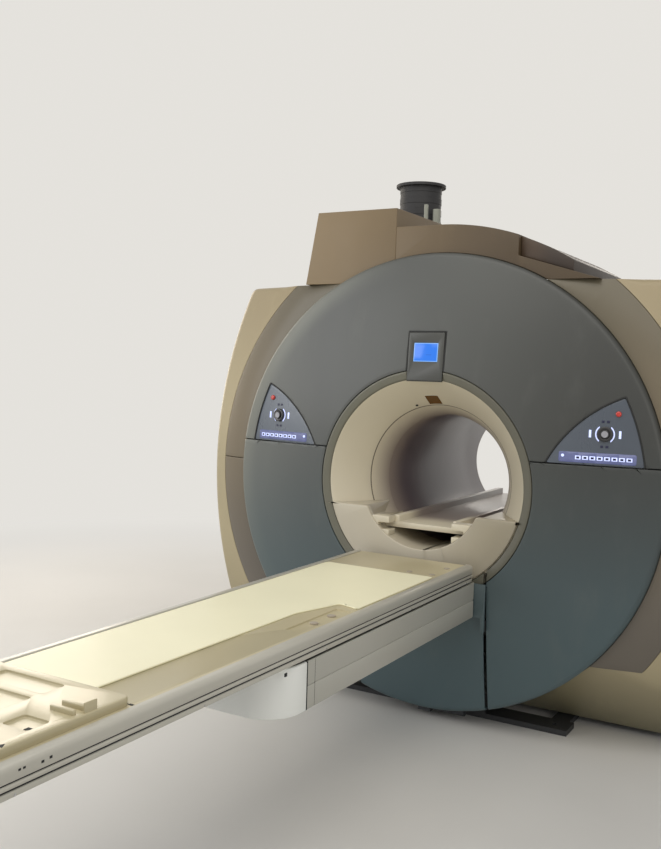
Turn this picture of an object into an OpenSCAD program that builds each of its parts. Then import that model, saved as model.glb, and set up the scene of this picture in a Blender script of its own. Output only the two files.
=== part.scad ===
// Whole-body MRI scanner with a patient table that is carried and lifted by the magnet housing.
// Origin: on the floor below the isocentre. +Y runs into the bore, +X is right as seen from the
// table, +Z is up. In the modules a depth counts from the front ring into the housing, and a
// height counts from the bore axis.

/* [Overall] */
// Height of the bore axis above the floor
axis_h = 1060; // [1050:1:1075]
// Depth of the housing from the front ring to the rear ring
body_depth = 1450; // [1430:5:1500]
// Radius of the patient bore
bore_r = 300; // [292:1:304]

/* [Front cover] */
// Outer radius of the round front cover
face_r = 1015; // [1010:1:1020]
// How far the dome of the cover falls back from the ring to the rim
face_sag = 82; // [76:1:86]
// Wall of the moulded covers
cover_wall = 8; // [6:1:9]
// Radius on the rim of the round cover
rim_round = 26; // [18:1:30]
// Depth at which the rim of the cover ends
rim_end = 121; // [119:1:124]
// Height of the split between the upper and the lower covers
split_h = 137; // [125:1:145]
// Open joint between neighbouring covers
joint_w = 5; // [3:0.5:7]

/* [Bore mouth] */
// Outer radius of the trim ring
ring_r = 500; // [496:1:504]
// Radial width of the trim ring
ring_w = 39; // [34:1:42]
// Thickness of the trim ring
ring_t = 20; // [16:1:22]
// Depth at which the flared mouth meets the straight bore
mouth_depth = 290; // [280:1:300]
// Exponent of the mouth's flare
mouth_curve = 1.21; // [1.1:0.01:1.4]
// Wall of the mouth mouldings
mouth_wall = 6; // [5:1:7]
// Depth of the rounded mouth at the rear end of the bore
rear_depth = 45; // [40:1:60]
// Radius of the opening in the rear cover
rear_r = 400; // [390:5:420]
// Height of the ledges of the table cradle
ledge_h = -118; // [-130:1:-105]
// Radius of the trough cut into the table cradle
trough_r = 285; // [278:1:290]

/* [Side covers] */
// Width of the bevelled band around the round front cover
band_w = 156; // [145:1:161]
// Depth of the outer edge of the band
band_depth = 155; // [145:1:160]
// Half of the width over the side covers
side_half = 1260; // [1250:5:1290]
// Radius of the bulging outer wall of a side cover
side_arc_r = 2500; // [2300:50:3000]
// How far the flat top of the side covers lies below the top of the round cover
side_drop = 125; // [120:1:135]
// Gap between the covers and the floor
floor_gap = 30; // [20:1:45]

/* [Top housing] */
// Rise of the tall block over the left shoulder above the round cover
tower_rise = 210; // [195:1:230]
// Half width of the top housing at its foot on the left
tower_left = 688; // [680:1:700]
// Rise of the arched part on the right above the round cover
arch_rise = 125; // [115:1:135]
// Depth of the front wall of the top housing
tower_depth = 112; // [108:1:118]
// Depth of the rear wall of the top housing
tower_rear = 1290; // [1270:5:1310]
// Half width of the arched part, up to the vent box
arch_end = 362; // [350:1:375]
// Half width of the vent box
vent_end = 592; // [580:1:600]
// Radius of the quench pipe
quench_r = 105; // [100:1:107]
// Height of the flange on the quench pipe
quench_top = 1430; // [1400:1:1450]

/* [Magnet] */
// Outer radius of the vacuum vessel
vessel_r = 960; // [955:1:965]
// Inner radius of the vacuum vessel
vessel_bore_r = 450; // [446:1:456]
// Free space between each end of the housing and the vacuum vessel
vessel_gap = 170; // [165:1:175]
// Outer wall of the vacuum vessel
vessel_wall = 12; // [8:1:14]
// End plates of the vacuum vessel
vessel_end = 18; // [14:1:22]
// Free space between the nested vessels
vessel_step = 22; // [18:1:24]
// Free space between each end of the housing and the gradient coil
gradient_gap = 235; // [230:5:255]
// Thickness of the gradient coil
gradient_t = 92; // [80:1:96]
// Radius of a suspension rod
rod_r = 8; // [6:1:10]
// Distance between the anchor holes across the scanner
anchor_x = 1100; // [1060:10:1120]
// Distance between the anchor holes along the scanner
anchor_y = 860; // [820:10:880]
// Radius of the anchor holes
anchor_r = 11; // [8:0.5:13]

/* [Table lift] */
// Distance of each lift slot from the middle
slot_x = 312; // [308:1:318]
// Width of the lift slots
slot_w = 14; // [12:1:16]
// Thickness of the two lift arms
arm_t = 8; // [6:1:9]
// Height of the two lift arms
arm_h = 45; // [38:1:46]
// Width of the linear guide rails
guide_w = 24; // [20:1:28]
// Distance of each guide rail from the middle
guide_x = 170; // [150:5:180]
// Radius of the lead screw
screw_r = 10; // [8:0.5:12]

/* [Patient table] */
// Half of the width over the table rails
table_half = 280; // [276:1:284]
// Length of the table
table_len = 2500; // [2460:10:2540]
// Free space between the table and the front ring
table_gap = 60; // [55:1:70]
// Height of the top of the table rails
table_top = -308; // [-312:1:-304]
// Width of a table rail
rail_w = 30; // [26:1:34]
// Height of a table rail
rail_h = 70; // [68:1:72]
// Thickness of the sliding tabletop
board_t = 34; // [30:1:36]
// Thickness of the mat on the tabletop
mat_t = 6; // [4:1:8]
// Half of the width over the beam
beam_half = 275; // [270:1:278]
// Depth, counted from the ring, of the beam's near end
beam_near = -1510; // [-1530:5:-1480]
// Distance of the coil strip's near end from the ring
strip_near = 1330; // [1300:5:1360]
// Length of the coil strip
strip_len = 310; // [290:5:320]
// Free space between the mat and the front ring
mat_gap = 380; // [360:5:400]
// Height of the underside of the beam
beam_low = -540; // [-546:1:-536]
// Radius of the corners at the beam's near end
beam_corner = 120; // [90:5:130]
// Wall of the beam covers
beam_wall = 8; // [6:1:9]
// Radius of the belt pulleys
pulley_r = 40; // [34:1:44]

/* [Controls] */
// Width of the display housing
display_w = 168; // [160:1:176]
// Height of the display housing
display_h = 211; // [205:1:217]
// Radius of the outer edge of a control panel
panel_edge_r = 941; // [936:1:945]
// Radius of the inner curved edge of a control panel
panel_arc_r = 571; // [560:1:580]
// Distance of the jog knobs from the middle
knob_x = 775; // [765:1:785]
// Height of the jog knobs
knob_h = 265; // [258:1:272]
// Radius of a jog knob
knob_r = 31; // [26:1:34]
// Radius of a stop button
stop_r = 11; // [9:0.5:13]

/* [Hidden] */

round_fn = 192;
front_y = -body_depth / 2;
clear = 0.3;
steps = 8;
big = 3000;

// Front cover
face_in_r = ring_r + joint_w / 2;
lip_end = ring_t + 8;
joint = joint_w / 2;
function sag(r) = face_sag * (r * r - ring_r * ring_r) / (face_r * face_r - ring_r * ring_r);
rim_slope = atan(2 * face_sag * (face_r - rim_round) / (face_r * face_r - ring_r * ring_r));

// Bore mouth
mouth_r = ring_r - ring_w - 2;
lip_d = 14;
flange_t = lip_end - ring_t;
function flare(d) = bore_r + (mouth_r - bore_r)
    * pow(max(0, 1 - (d - lip_d) / (mouth_depth - lip_d)), mouth_curve);

// Inner and outer support rings of the covers
carry_d0 = lip_end;
carry_d1 = carry_d0 + 12;
carry_r0 = mouth_r + mouth_wall + 8;
carry_r1 = ring_r + 60;
hoop_d0 = rim_end;
hoop_d1 = hoop_d0 + 8;
hoop_r0 = 940;
hoop_r1 = face_r - 2;

// Magnet, from the vacuum vessel inwards
vessel_d0 = vessel_gap;
vessel_d1 = body_depth - vessel_gap;
shield_r = vessel_r - vessel_wall - vessel_step;
shield_bore_r = vessel_bore_r + 8 + vessel_step;
helium_r = shield_r - 4 - vessel_step;
helium_bore_r = shield_bore_r + 4 + vessel_step;
shield_d0 = vessel_d0 + vessel_end + 14;
helium_d0 = shield_d0 + 4 + 14;
gradient_r = vessel_bore_r - 8;
gradient_d0 = gradient_gap;
liner_r = bore_r + 6;

// Lift
arm_low = beam_low - 60;
arm_top = arm_low + arm_h;
root_d0 = -14;
root_d1 = -2;
carriage_d0 = hoop_d0 - 23;
carriage_d1 = carriage_d0 + 16;
carriage_low = -715;
carriage_top = -655;
column_d = vessel_d0 - 10;
guide_d = column_d - 20;
screw_d = guide_d;
guide_low = -955;
guide_top = -445;
screw_low = -985;
screw_top = guide_top - 8;
plate_half = slot_x + 6;

// Table
table_far = -table_gap;
table_near = -table_gap - table_len;
rail_in = table_half - rail_w;
rail_low = table_top - rail_h;
bed_t = 8;
bed_top = rail_low + bed_t;
board_half = rail_in - 1.5;
board_top = table_top - 4;
board_low = board_top - board_t;
beam_far = -25;
beam_top = rail_low - 10;
beam_mid = (beam_top + beam_low) / 2;
cap_far = beam_near + beam_corner + 35;
spar_x = beam_half - 75;
spar_low = beam_low + 18;
pulley_h = 12;
pulley_low = bed_top + 1;
drive_d = table_far - 90;
idler_d = table_near + 110;
belt_t = 2;
tray_far = table_near + 470;
strip_far = strip_len - strip_near;

// Controls
panel_c = [1060, -114];
display_low = split_h + 315;
screen_w = 113;
screen_h = 81;
screen_low = display_low + 84;
stop_x = 822;
stop_h = 347;
panel_sink = 2;
shaft_r = 6;

// Bridge in the bore and rear end
bridge_top = -185;
dock_low = ledge_h + board_low - table_top;
rear_dome = 60;
rear_rim = body_depth - 140;

// Band and side covers
band_r = face_r + band_w;
side_top = face_r - side_drop;
band_low = -700;
band_split = 34;
side_slope = 0.35;
side_rear = body_depth - 90;
foot_d = 128;
foot_tilt = 43;
foot_back = foot_d + (band_low - floor_gap + axis_h) * tan(foot_tilt);
side_wall = cover_wall * sqrt(1 + side_slope * side_slope);
flange_d = band_depth + side_slope * 12 + side_wall + clear;

// Top housing
tower_top = face_r + tower_rise;
arch_r = face_r + arch_rise;
top_low = side_top + clear;
tower_right = -215;
tower_lean = 60;
shoulder_h = arch_r - 146;
shoulder_end = vent_end + 118;
shoulder_run = (shoulder_end - arch_end) / (shoulder_h - top_low);
vent_d = tower_depth + 30;
vent_len = 808;
vent_t = 30;
flange_w = 20;
flange_r = quench_r + flange_w;
flange_pcd = 2 * quench_r + flange_w;
quench_x = tower_right - cover_wall - flange_r - 10;
quench_d = vessel_d0 + 490;
flange_hole = 5.5;
neck_top = vessel_r + 80;
neck_low = vessel_r - 300;
head_x = -410;
head_d = vessel_d0 + 130;
head_r = 70;
stub_x = tower_right - 25;
stub_rise = 75;

// Inside the helium vessel, and the floor frame
coil_r = helium_bore_r + 6 + clear;
coil_d0 = helium_d0 + 30;
saddle_d = (body_depth - anchor_y) / 2;
carry_mid = (carry_r0 + carry_r1) / 2;

// Frame helpers
module turned(points) translate([0, front_y, axis_h]) rotate([-90, 0, 0])
    rotate_extrude($fn = round_fn) polygon(points);
module tube(r0, r1, d0, d1) turned([[r0, d0], [r1, d0], [r1, d1], [r0, d1]]);
module block(x0, x1, d0, d1, z0, z1) translate([x0, front_y + d0, axis_h + z0])
    cube([x1 - x0, d1 - d0, z1 - z0]);
// Draws an outline seen from the front and gives it a depth
module slab(d0, d1) translate([0, front_y + d1, axis_h]) rotate([90, 0, 0])
    linear_extrude(d1 - d0) children();
// Draws an outline seen from above and gives it a height
module level(z0, z1) translate([0, front_y, axis_h + z0]) linear_extrude(z1 - z0) children();
module rod_y(x, z, r, d0, d1) translate([x, front_y + d0, axis_h + z]) rotate([-90, 0, 0])
    cylinder(r = r, h = d1 - d0, $fn = 48);
module rod_z(x, d, r, z0, z1) translate([x, front_y + d, axis_h + z0])
    cylinder(r = r, h = z1 - z0, $fn = 48);
module rod_x(d, z, r, x0, x1) translate([x0, front_y + d, axis_h + z]) rotate([0, 90, 0])
    cylinder(r = r, h = x1 - x0, $fn = 48);
module both_sides() {
    children();
    mirror([1, 0, 0]) children();
}

// Round front cover with its rim, its return lip and a constant wall
function rim_arc(r, shift) = [for (i = [0:4]) let (a = rim_slope + i * (90 - rim_slope) / 4)
    [face_r - rim_round + r * sin(a), shift - r * cos(a)]];
rim_c = sag(face_r - rim_round + rim_round * sin(rim_slope)) + rim_round * cos(rim_slope);
dome_end = face_r - rim_round + rim_round * sin(rim_slope);
dome_outer = [for (i = [0:steps - 1]) let (r = face_in_r + i * (dome_end - face_in_r) / steps)
    [r, sag(r)]];
dome_inner = [for (i = [0:steps]) let (r = dome_end - i * (dome_end - face_in_r - cover_wall) / steps)
    [r, sag(r) + cover_wall]];
module dome_shell() turned(concat(dome_outer, rim_arc(rim_round, rim_c),
    [[face_r, rim_end], [face_r - cover_wall, rim_end]],
    [for (i = [4:-1:1]) rim_arc(rim_round - cover_wall, rim_c)[i]],
    dome_inner, [[face_in_r + cover_wall, lip_end], [face_in_r, lip_end]]));

// Outline of a control panel on the right, grown by g
module panel_outline(g) intersection() {
    circle(r = panel_edge_r + g, $fn = round_fn);
    translate(panel_c) circle(r = panel_arc_r + g, $fn = round_fn);
    translate([0, split_h + joint]) square([face_r, face_r]);
}

module display_outline(g) translate([-display_w / 2 - g, display_low - g])
    square([display_w + 2 * g, display_h + 2 * g]);

module front_cover_upper() color([0.42, 0.46, 0.47]) difference() {
    dome_shell();
    block(-big, big, -50, 200, -big, split_h + joint);
    slab(-50, 200) display_outline(joint);
    both_sides() slab(-50, 200) panel_outline(joint);
}

module lower_cover() difference() {
    dome_shell();
    block(-big, big, -50, 200, split_h - joint, big);
    block(-big, slot_x + slot_w / 2, -50, 200, -big, split_h);
}

module front_cover_lower_left() color([0.3, 0.36, 0.38]) mirror([1, 0, 0]) lower_cover();

module front_cover_lower_right() color([0.3, 0.36, 0.38]) lower_cover();

module lift_cover_panel() color([0.28, 0.35, 0.37]) intersection() {
    dome_shell();
    block(-slot_x + slot_w / 2, slot_x - slot_w / 2, -50, 200, -big, 0);
}

// The lift arms pass through the slots on both sides of the middle
module lift_slots(d0, d1, top) both_sides()
    block(slot_x - slot_w / 2, slot_x + slot_w / 2, d0, d1, -big, top);

slot_top = -sqrt(pow(mouth_r + mouth_wall, 2) - pow(slot_x, 2)) - 4;

module ring_band() turned([[ring_r - ring_w, 12], [ring_r - ring_w + 6, 5], [ring_r - 6, 0],
    [ring_r, 4], [ring_r, ring_t], [ring_r - ring_w, ring_t]]);

module trim_ring() color([0.45, 0.43, 0.38]) difference() {
    ring_band();
    block(-slot_x - slot_w / 2, slot_x + slot_w / 2, -5, ring_t + 5, -big, -ring_r / 2);
    block(-display_w / 2 - joint, display_w / 2 + joint, -5, ring_t + 5, 0, big);
}

module trim_ring_lower() color([0.45, 0.43, 0.38]) intersection() {
    ring_band();
    block(-slot_x + slot_w / 2, slot_x - slot_w / 2, -5, ring_t + 5, -big, 0);
}

function mouth_points(extra) = [for (i = [0:steps]) let (d = lip_d + i * (mouth_depth - lip_d) / steps)
    [flare(d) + extra, d]];
module front_funnel() color([0.82, 0.78, 0.7]) difference() {
    turned(concat(mouth_points(0), [for (i = [steps:-1:2]) mouth_points(mouth_wall)[i]],
        [[carry_r0 - 6, lip_end], [ring_r - 1, lip_end], [ring_r - 1, ring_t], [mouth_r, ring_t]]));
    lift_slots(-5, lip_end + 30, slot_top);
}

// Closed volume inside the mouth, with a running clearance to the funnel
module mouth_core(gap) turned(concat([[0, 0]], [[mouth_r - gap, 0]],
    [for (p = mouth_points(-gap)) p], [[0, mouth_depth]]));

module table_cradle() color([0.85, 0.81, 0.73]) intersection() {
    mouth_core(0.2);
    difference() {
        block(-big, big, 0, mouth_depth, -big, ledge_h);
        turned([[0, -5], [trough_r, -5], [trough_r, mouth_depth + 5], [0, mouth_depth + 5]]);
        both_sides() block(trough_r - 60, trough_r - 5, 30, mouth_depth + 5, ledge_h - 57, 0);
    }
}

module bore_liner() color([0.86, 0.83, 0.78])
    tube(bore_r, liner_r, mouth_depth, body_depth - rear_depth);

// The trough is closed by a bridge that carries the tabletop through the bore
module bridge_part(r, d0, d1) intersection() {
    turned([[0, d0], [r, d0], [r, d1], [0, d1]]);
    union() {
        block(-big, big, d0, d1, bridge_top - 25, bridge_top);
        both_sides() block(130, 160, d0, d1, bridge_top, dock_low - clear);
    }
}

module bore_bridge() color([0.8, 0.77, 0.7]) {
    bridge_part(trough_r - 0.2, 70, mouth_depth);
    bridge_part(bore_r - 0.2, mouth_depth, body_depth - rear_depth);
}

module bridge_brackets() color([0.9, 0.88, 0.82]) both_sides() intersection() {
    turned([[0, 5], [trough_r - 0.2, 5], [trough_r - 0.2, 70], [0, 70]]);
    difference() {
        block(150, 235, 5, 70, -240, dock_low - clear);
        block(140, 205, -5, 80, -215, -185);
    }
}

// Rear end, the front one in plain form
function rear_sag(r) = rear_dome * (r * r - rear_r * rear_r) / (face_r * face_r - rear_r * rear_r);
rear_in = face_r - cover_wall;
module rear_cover() color([0.74, 0.7, 0.62]) {
    turned(concat([for (i = [0:steps]) let (r = rear_r + i * (face_r - 20 - rear_r) / steps)
        [r, body_depth - rear_sag(r)]],
        [[face_r, body_depth - rear_dome - 20], [face_r, rear_rim], [rear_in, rear_rim]],
        [for (i = [steps:-1:0]) let (r = rear_r + cover_wall + i * (rear_in - 26 - rear_r) / steps)
            [r, body_depth - rear_sag(r) - cover_wall]],
        [[rear_r + cover_wall, body_depth - 30], [rear_r, body_depth - 30]]));
    for (a = [30:60:330]) rod_y(700 * cos(a), 700 * sin(a), 14, vessel_d1,
        body_depth - rear_sag(700) - cover_wall / 2);
}

// Rounded lip between the liner and the rear cover
function rear_lip(r) = [for (a = [0:90 / steps:90])
    [bore_r + rear_depth - r * cos(a), body_depth - rear_depth + r * sin(a) - 2 * sin(a)]];
module rear_funnel() color([0.86, 0.83, 0.78]) turned(concat(rear_lip(rear_depth),
    [[rear_r - 2, body_depth - 2], [rear_r - 2, body_depth - 30], [rear_r + 6, body_depth - 30],
        [rear_r + 6, body_depth - 36], [rear_r - 8, body_depth - 36],
        [rear_r - 8, body_depth - mouth_wall - 2]],
    [for (i = [steps:-1:0]) rear_lip(rear_depth - mouth_wall)[i]]));

// Bevelled band behind the rim, cut off at the flat top and above the floor
module bevel_band() difference() {
    turned([[face_r + 2, rim_end - 9], [band_r, band_depth], [band_r, flange_d],
        [band_r + 12, flange_d], [band_r + 12, flange_d + 6], [band_r - 8, flange_d + 6],
        [band_r - 8, band_depth + 8], [face_r + 15, hoop_d1 + 8], [hoop_r1 - 10, hoop_d1 + 8],
        [hoop_r1 - 10, hoop_d1], [face_r + 2, hoop_d1]]);
    block(-big, big, 0, 400, side_top + clear, big);
    block(-big, big, band_depth + 5, 400, side_top - cover_wall - clear, big);
    block(-big, big, 0, 400, -big, band_low);
    block(-big, 0, 0, 400, -big, big);
    block(0, big, 0, 400, band_split - 1.5, band_split + 1.5);
}

module bevel_band_left() color([0.47, 0.42, 0.36]) mirror([1, 0, 0]) bevel_band();

module bevel_band_right() color([0.47, 0.42, 0.36]) bevel_band();

module side_outline(w, low) intersection() {
    translate([side_half - side_arc_r, -20]) circle(r = side_arc_r - w, $fn = round_fn);
    translate([face_r / 4, low]) square([big, side_top - w - low]);
}

// Everything behind the sloping front and the set-back foot of a side cover
module behind_front(shift) difference() {
    turned([[0, band_depth - side_slope * band_r + shift],
        [big, band_depth + side_slope * (big - band_r) + shift], [big, side_rear - min(shift, cover_wall)],
        [0, side_rear - min(shift, cover_wall)]]);
    translate([-big, front_y + foot_d, axis_h + band_low]) rotate([foot_tilt, 0, 0])
        translate([0, min(shift, cover_wall) - big, -big]) cube([2 * big, big, 2 * big]);
}

module side_cover() difference() {
    intersection() {
        slab(-50, side_rear + 50) side_outline(0, floor_gap - axis_h);
        behind_front(0);
    }
    intersection() {
        slab(-50, side_rear + 50) side_outline(cover_wall, -big);
        behind_front(side_wall);
    }
    under_top_cut();
    intersection() {
        turned([[0, -5], [band_r + 2, -5], [band_r + 2, flange_d - 1], [0, flange_d - 1]]);
        block(-big, big, -50, 400, band_low - 1, big);
    }
}

module side_cover_left() color([0.76, 0.7, 0.6]) mirror([1, 0, 0]) side_cover();

module side_cover_right() color([0.76, 0.7, 0.6]) side_cover();

// Everything outside the round covers and the vessel
module under_top_cut() turned([[0, -50], [face_r + 3, -50], [face_r + 3, big], [0, big]]);

// Tall block of the top housing over the left shoulder
module tower_outline(w, low) polygon([[-tower_left + w, top_low - low],
    [-tower_left + tower_lean + w, tower_top - w], [tower_right - w, tower_top - w],
    [tower_right - w, top_low - low]]);

module tower_cover() color([0.72, 0.66, 0.54]) difference() {
    slab(tower_depth, tower_rear) tower_outline(0, 0);
    slab(tower_depth + cover_wall, tower_rear - cover_wall) tower_outline(cover_wall, 10);
    under_top_cut();
    rod_z(quench_x, quench_d, quench_r + 4, face_r, big);
}

// The arch runs level from its crown to the tall block
module arch_outline(w, low) {
    intersection() {
        union() {
            circle(r = arch_r - w, $fn = round_fn);
            translate([tower_right, 0]) square([-tower_right, arch_r - w]);
        }
        translate([tower_right + clear + w, top_low - low])
            square([arch_end - tower_right - clear - 2 * w, big]);
    }
    polygon([[0, top_low - low], [0, shoulder_h - w], [arch_end, shoulder_h - w],
        [shoulder_end + shoulder_run * (low - w), top_low - low]]);
}

module arch_cover() color([0.72, 0.66, 0.54]) difference() {
    slab(tower_depth, tower_rear) arch_outline(0, 0);
    slab(tower_depth + cover_wall, tower_rear - cover_wall) arch_outline(cover_wall, 10);
    under_top_cut();
}

// Dark box on the sloping shoulder, with slots along its top
module vent_box() color([0.28, 0.22, 0.16]) difference() {
    slab(vent_d, vent_d + vent_len) intersection() {
        circle(r = arch_r - 3, $fn = round_fn);
        polygon([[arch_end + clear, shoulder_h + clear], [shoulder_end, top_low + clear],
            [shoulder_end, arch_r], [arch_end + clear, arch_r]]);
        translate([arch_end + clear, 0]) square([vent_end - arch_end - clear, arch_r]);
    }
    for (i = [0:7]) let (d = vent_d + 130 + i * 80) intersection() {
        tube(arch_r - vent_t, arch_r + 20, d, d + 40);
        block(arch_end + 40, vent_end - 40, d - 1, d + 41, 0, big);
    }
}

module bolt_holes(z0, z1) for (a = [22.5:45:360])
    rod_z(quench_x + flange_pcd / 2 * cos(a), quench_d + flange_pcd / 2 * sin(a), flange_hole, z0, z1);

module quench_pipe() color([0.06, 0.06, 0.07]) difference() {
    union() {
        rod_z(quench_x, quench_d, quench_r, neck_top, quench_top);
        rod_z(quench_x, quench_d, flange_r, quench_top - 14, quench_top);
        rod_z(quench_x, quench_d, flange_r, neck_top, neck_top + 14);
    }
    rod_z(quench_x, quench_d, quench_r - 6, neck_top - 5, quench_top + 5);
    bolt_holes(quench_top - 20, quench_top + 5);
}

module cold_head() color([0.55, 0.57, 0.6]) {
    rod_z(head_x, head_d, head_r, neck_top, neck_top + 16);
    rod_z(head_x, head_d, head_r - 25, neck_top + 16, neck_top + 70);
    rod_z(head_x, head_d, head_r - 10, neck_top + 70, neck_top + 110);
    rod_x(head_d, neck_top + 90, 14, head_x + head_r - 20, head_x + 120);
}

// Pipe ends that come out of the roof of the tall block
module service_stubs() color([0.75, 0.75, 0.73]) {
    rod_z(stub_x, quench_d - 185, 10, tower_top, tower_top + stub_rise);
    rod_z(stub_x + 4, quench_d - 70, 19, tower_top, tower_top + stub_rise - 5);
}

// Display housing as a wedge that follows the fall of the dome
module display_wedge(x0, x1, pts) translate([x0, front_y, axis_h]) rotate([90, 0, 90])
    linear_extrude(x1 - x0) polygon(pts);

module display_housing() color([0.33, 0.38, 0.41]) difference() {
    display_wedge(-display_w / 2, display_w / 2, [[-6, display_low], [12, display_low + display_h],
        [lip_end, display_low + display_h], [lip_end, ring_r + 8], [8, ring_r + 4],
        [8, display_low]]);
    display_wedge(-screen_w / 2, screen_w / 2, screen_face(-20, 3));
}

function wedge_d(z) = -6 + 18 * (z - display_low) / display_h;
function screen_face(front, back) = [[wedge_d(screen_low) + front, screen_low],
    [wedge_d(screen_low + screen_h) + front, screen_low + screen_h],
    [wedge_d(screen_low + screen_h) + back, screen_low + screen_h],
    [wedge_d(screen_low) + back, screen_low]];

module display_screen() color([0.25, 0.5, 0.95])
    display_wedge(-screen_w / 2, screen_w / 2, screen_face(1, 3));

// Puts a shape on the dome with its own Z along the outward normal
function slope(r) = 2 * face_sag * r / (face_r * face_r - ring_r * ring_r);
module on_dome(x, z) {
    lean_x = slope(norm([x, z])) * x / norm([x, z]);
    lean_z = slope(norm([x, z])) * z / norm([x, z]);
    translate([x, front_y + sag(norm([x, z])), axis_h + z]) rotate([0, 0, atan(lean_x)])
        rotate([-atan(lean_z / sqrt(1 + lean_x * lean_x)), 0, 0]) rotate([90, 0, 0]) children();
}

module control_panel() difference() {
    union() {
        intersection() {
            translate([0, panel_sink, 0]) dome_shell();
            slab(-50, 200) panel_outline(0);
        }
        intersection() {
            translate([0, cover_wall + clear, 0]) dome_shell();
            slab(-50, 200) panel_outline(14);
        }
    }
    on_dome(knob_x, knob_h) translate([0, 0, -60]) cylinder(r = shaft_r + 0.05, h = 80, $fn = 48);
    on_dome(stop_x, stop_h) translate([0, 0, -60]) cylinder(r = stop_r + clear, h = 80, $fn = 48);
}

module control_panel_left() color([0.55, 0.58, 0.62]) mirror([1, 0, 0]) control_panel();

module control_panel_right() color([0.55, 0.58, 0.62]) control_panel();

module panel_keys() color([0.7, 0.75, 0.9]) both_sides() {
    for (i = [0:7]) on_dome(676 + i * 28, 167) translate([-10, -6, -1.7]) cube([20, 12, 2]);
    on_dome(616, 173) translate([0, 0, -1.7]) cylinder(r = 6, h = 2, $fn = 32);
    for (a = [0:90:270]) on_dome(knob_x + (knob_r + 24) * cos(a), knob_h + (knob_r + 24) * sin(a))
        translate([-7, -5, -1.7]) cube([14, 10, 2]);
}

module jog_knob() on_dome(knob_x, knob_h) {
    translate([0, 0, clear - panel_sink]) cylinder(r = knob_r, h = 10, $fn = 64);
    translate([0, 0, 8]) cylinder(r = knob_r * 0.55, h = 7, $fn = 64);
    translate([0, 0, -24]) cylinder(r = shaft_r, h = 25, $fn = 48);
}

module jog_knob_left() color([0.12, 0.12, 0.14]) mirror([1, 0, 0]) jog_knob();

module jog_knob_right() color([0.12, 0.12, 0.14]) jog_knob();

module stop_button() on_dome(stop_x, stop_h) translate([0, 0, -20]) cylinder(r = stop_r, h = 27, $fn = 48);

module stop_button_left() color([0.75, 0.12, 0.1]) mirror([1, 0, 0]) stop_button();

module stop_button_right() color([0.75, 0.12, 0.1]) stop_button();

module laser_window() color([0.35, 0.2, 0.08]) intersection() {
    turned([[flare(120) - 1.9, 120], [flare(180) - 1.9, 180], [flare(180) - 0.7, 180],
        [flare(120) - 0.7, 120]]);
    block(-50, 12, 0, 300, 0, big);
}

// Nested vessels of the magnet
module ring_vessel(r0, r1, d0, d1, wall, skin, end) difference() {
    tube(r0, r1, d0, d1);
    tube(r0 + skin, r1 - wall, d0 + end, d1 - end);
}

module neck(x, d, r) difference() {
    rod_z(x, d, r, neck_low, neck_top);
    turned([[0, -5], [vessel_r - 2, -5], [vessel_r - 2, big], [0, big]]);
}

module vacuum_vessel() color([0.62, 0.63, 0.64]) {
    ring_vessel(vessel_bore_r, vessel_r, vessel_d0, vessel_d1, vessel_wall, 8, vessel_end);
    neck(quench_x, quench_d, flange_r);
    neck(head_x, head_d, head_r);
}

rod_angles = [45:90:315];
rod_depths = [helium_d0 + 60, body_depth - helium_d0 - 60];
module rods(r, r0, r1) for (a = rod_angles, d = rod_depths)
    translate([0, front_y + d, axis_h]) rotate([0, 90 - a, 0]) translate([0, 0, r0])
        cylinder(r = r, h = r1 - r0, $fn = 32);

module thermal_shield() color([0.8, 0.81, 0.83]) difference() {
    ring_vessel(shield_bore_r, shield_r, shield_d0, body_depth - shield_d0, 4, 4, 4);
    rods(rod_r + clear, shield_r - 30, shield_r + 30);
}

module helium_vessel() color([0.7, 0.71, 0.72])
    ring_vessel(helium_bore_r, helium_r, helium_d0, body_depth - helium_d0, 6, 6, 10);

module suspension_rods() color([0.85, 0.75, 0.4])
    rods(rod_r, helium_r + 0.2, vessel_r - vessel_wall - 0.2);

module magnet_coils() color([0.72, 0.45, 0.2]) {
    tube(coil_r, coil_r + 18, coil_d0, body_depth - coil_d0);
    for (p = [[0, 90], [190, 70], [360, 60]]) for (s = [0, 1]) mirror_depth(s)
        tube(coil_r + 17, coil_r + 80, coil_d0 + p[0], coil_d0 + p[0] + p[1]);
    for (s = [0, 1]) mirror_depth(s) {
        tube(coil_r + 70, helium_r - 60, coil_d0, coil_d0 + 14);
        tube(helium_r - 100, helium_r - 50, coil_d0 + 14, coil_d0 + 150);
    }
}

module mirror_depth(s) mirror([0, s, 0]) children();

module gradient_coil() color([0.82, 0.72, 0.45]) {
    tube(gradient_r - gradient_t, gradient_r, gradient_d0, body_depth - gradient_d0);
    for (s = [0, 1], a = [0:45:315]) mirror_depth(s) translate([0, 0, axis_h]) rotate([0, a, 0])
        translate([gradient_r - 2, front_y + gradient_d0 + 20, -25])
            cube([vessel_bore_r - gradient_r + 1.2, 60, 50]);
}

module body_coil() color([0.85, 0.55, 0.3]) {
    for (s = [0, 1]) mirror_depth(s)
        tube(liner_r + 0.2, liner_r + 15, mouth_depth + 40, mouth_depth + 100);
    tube(liner_r + 14, liner_r + 18, mouth_depth + 40, body_depth - mouth_depth - 40);
}

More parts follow.
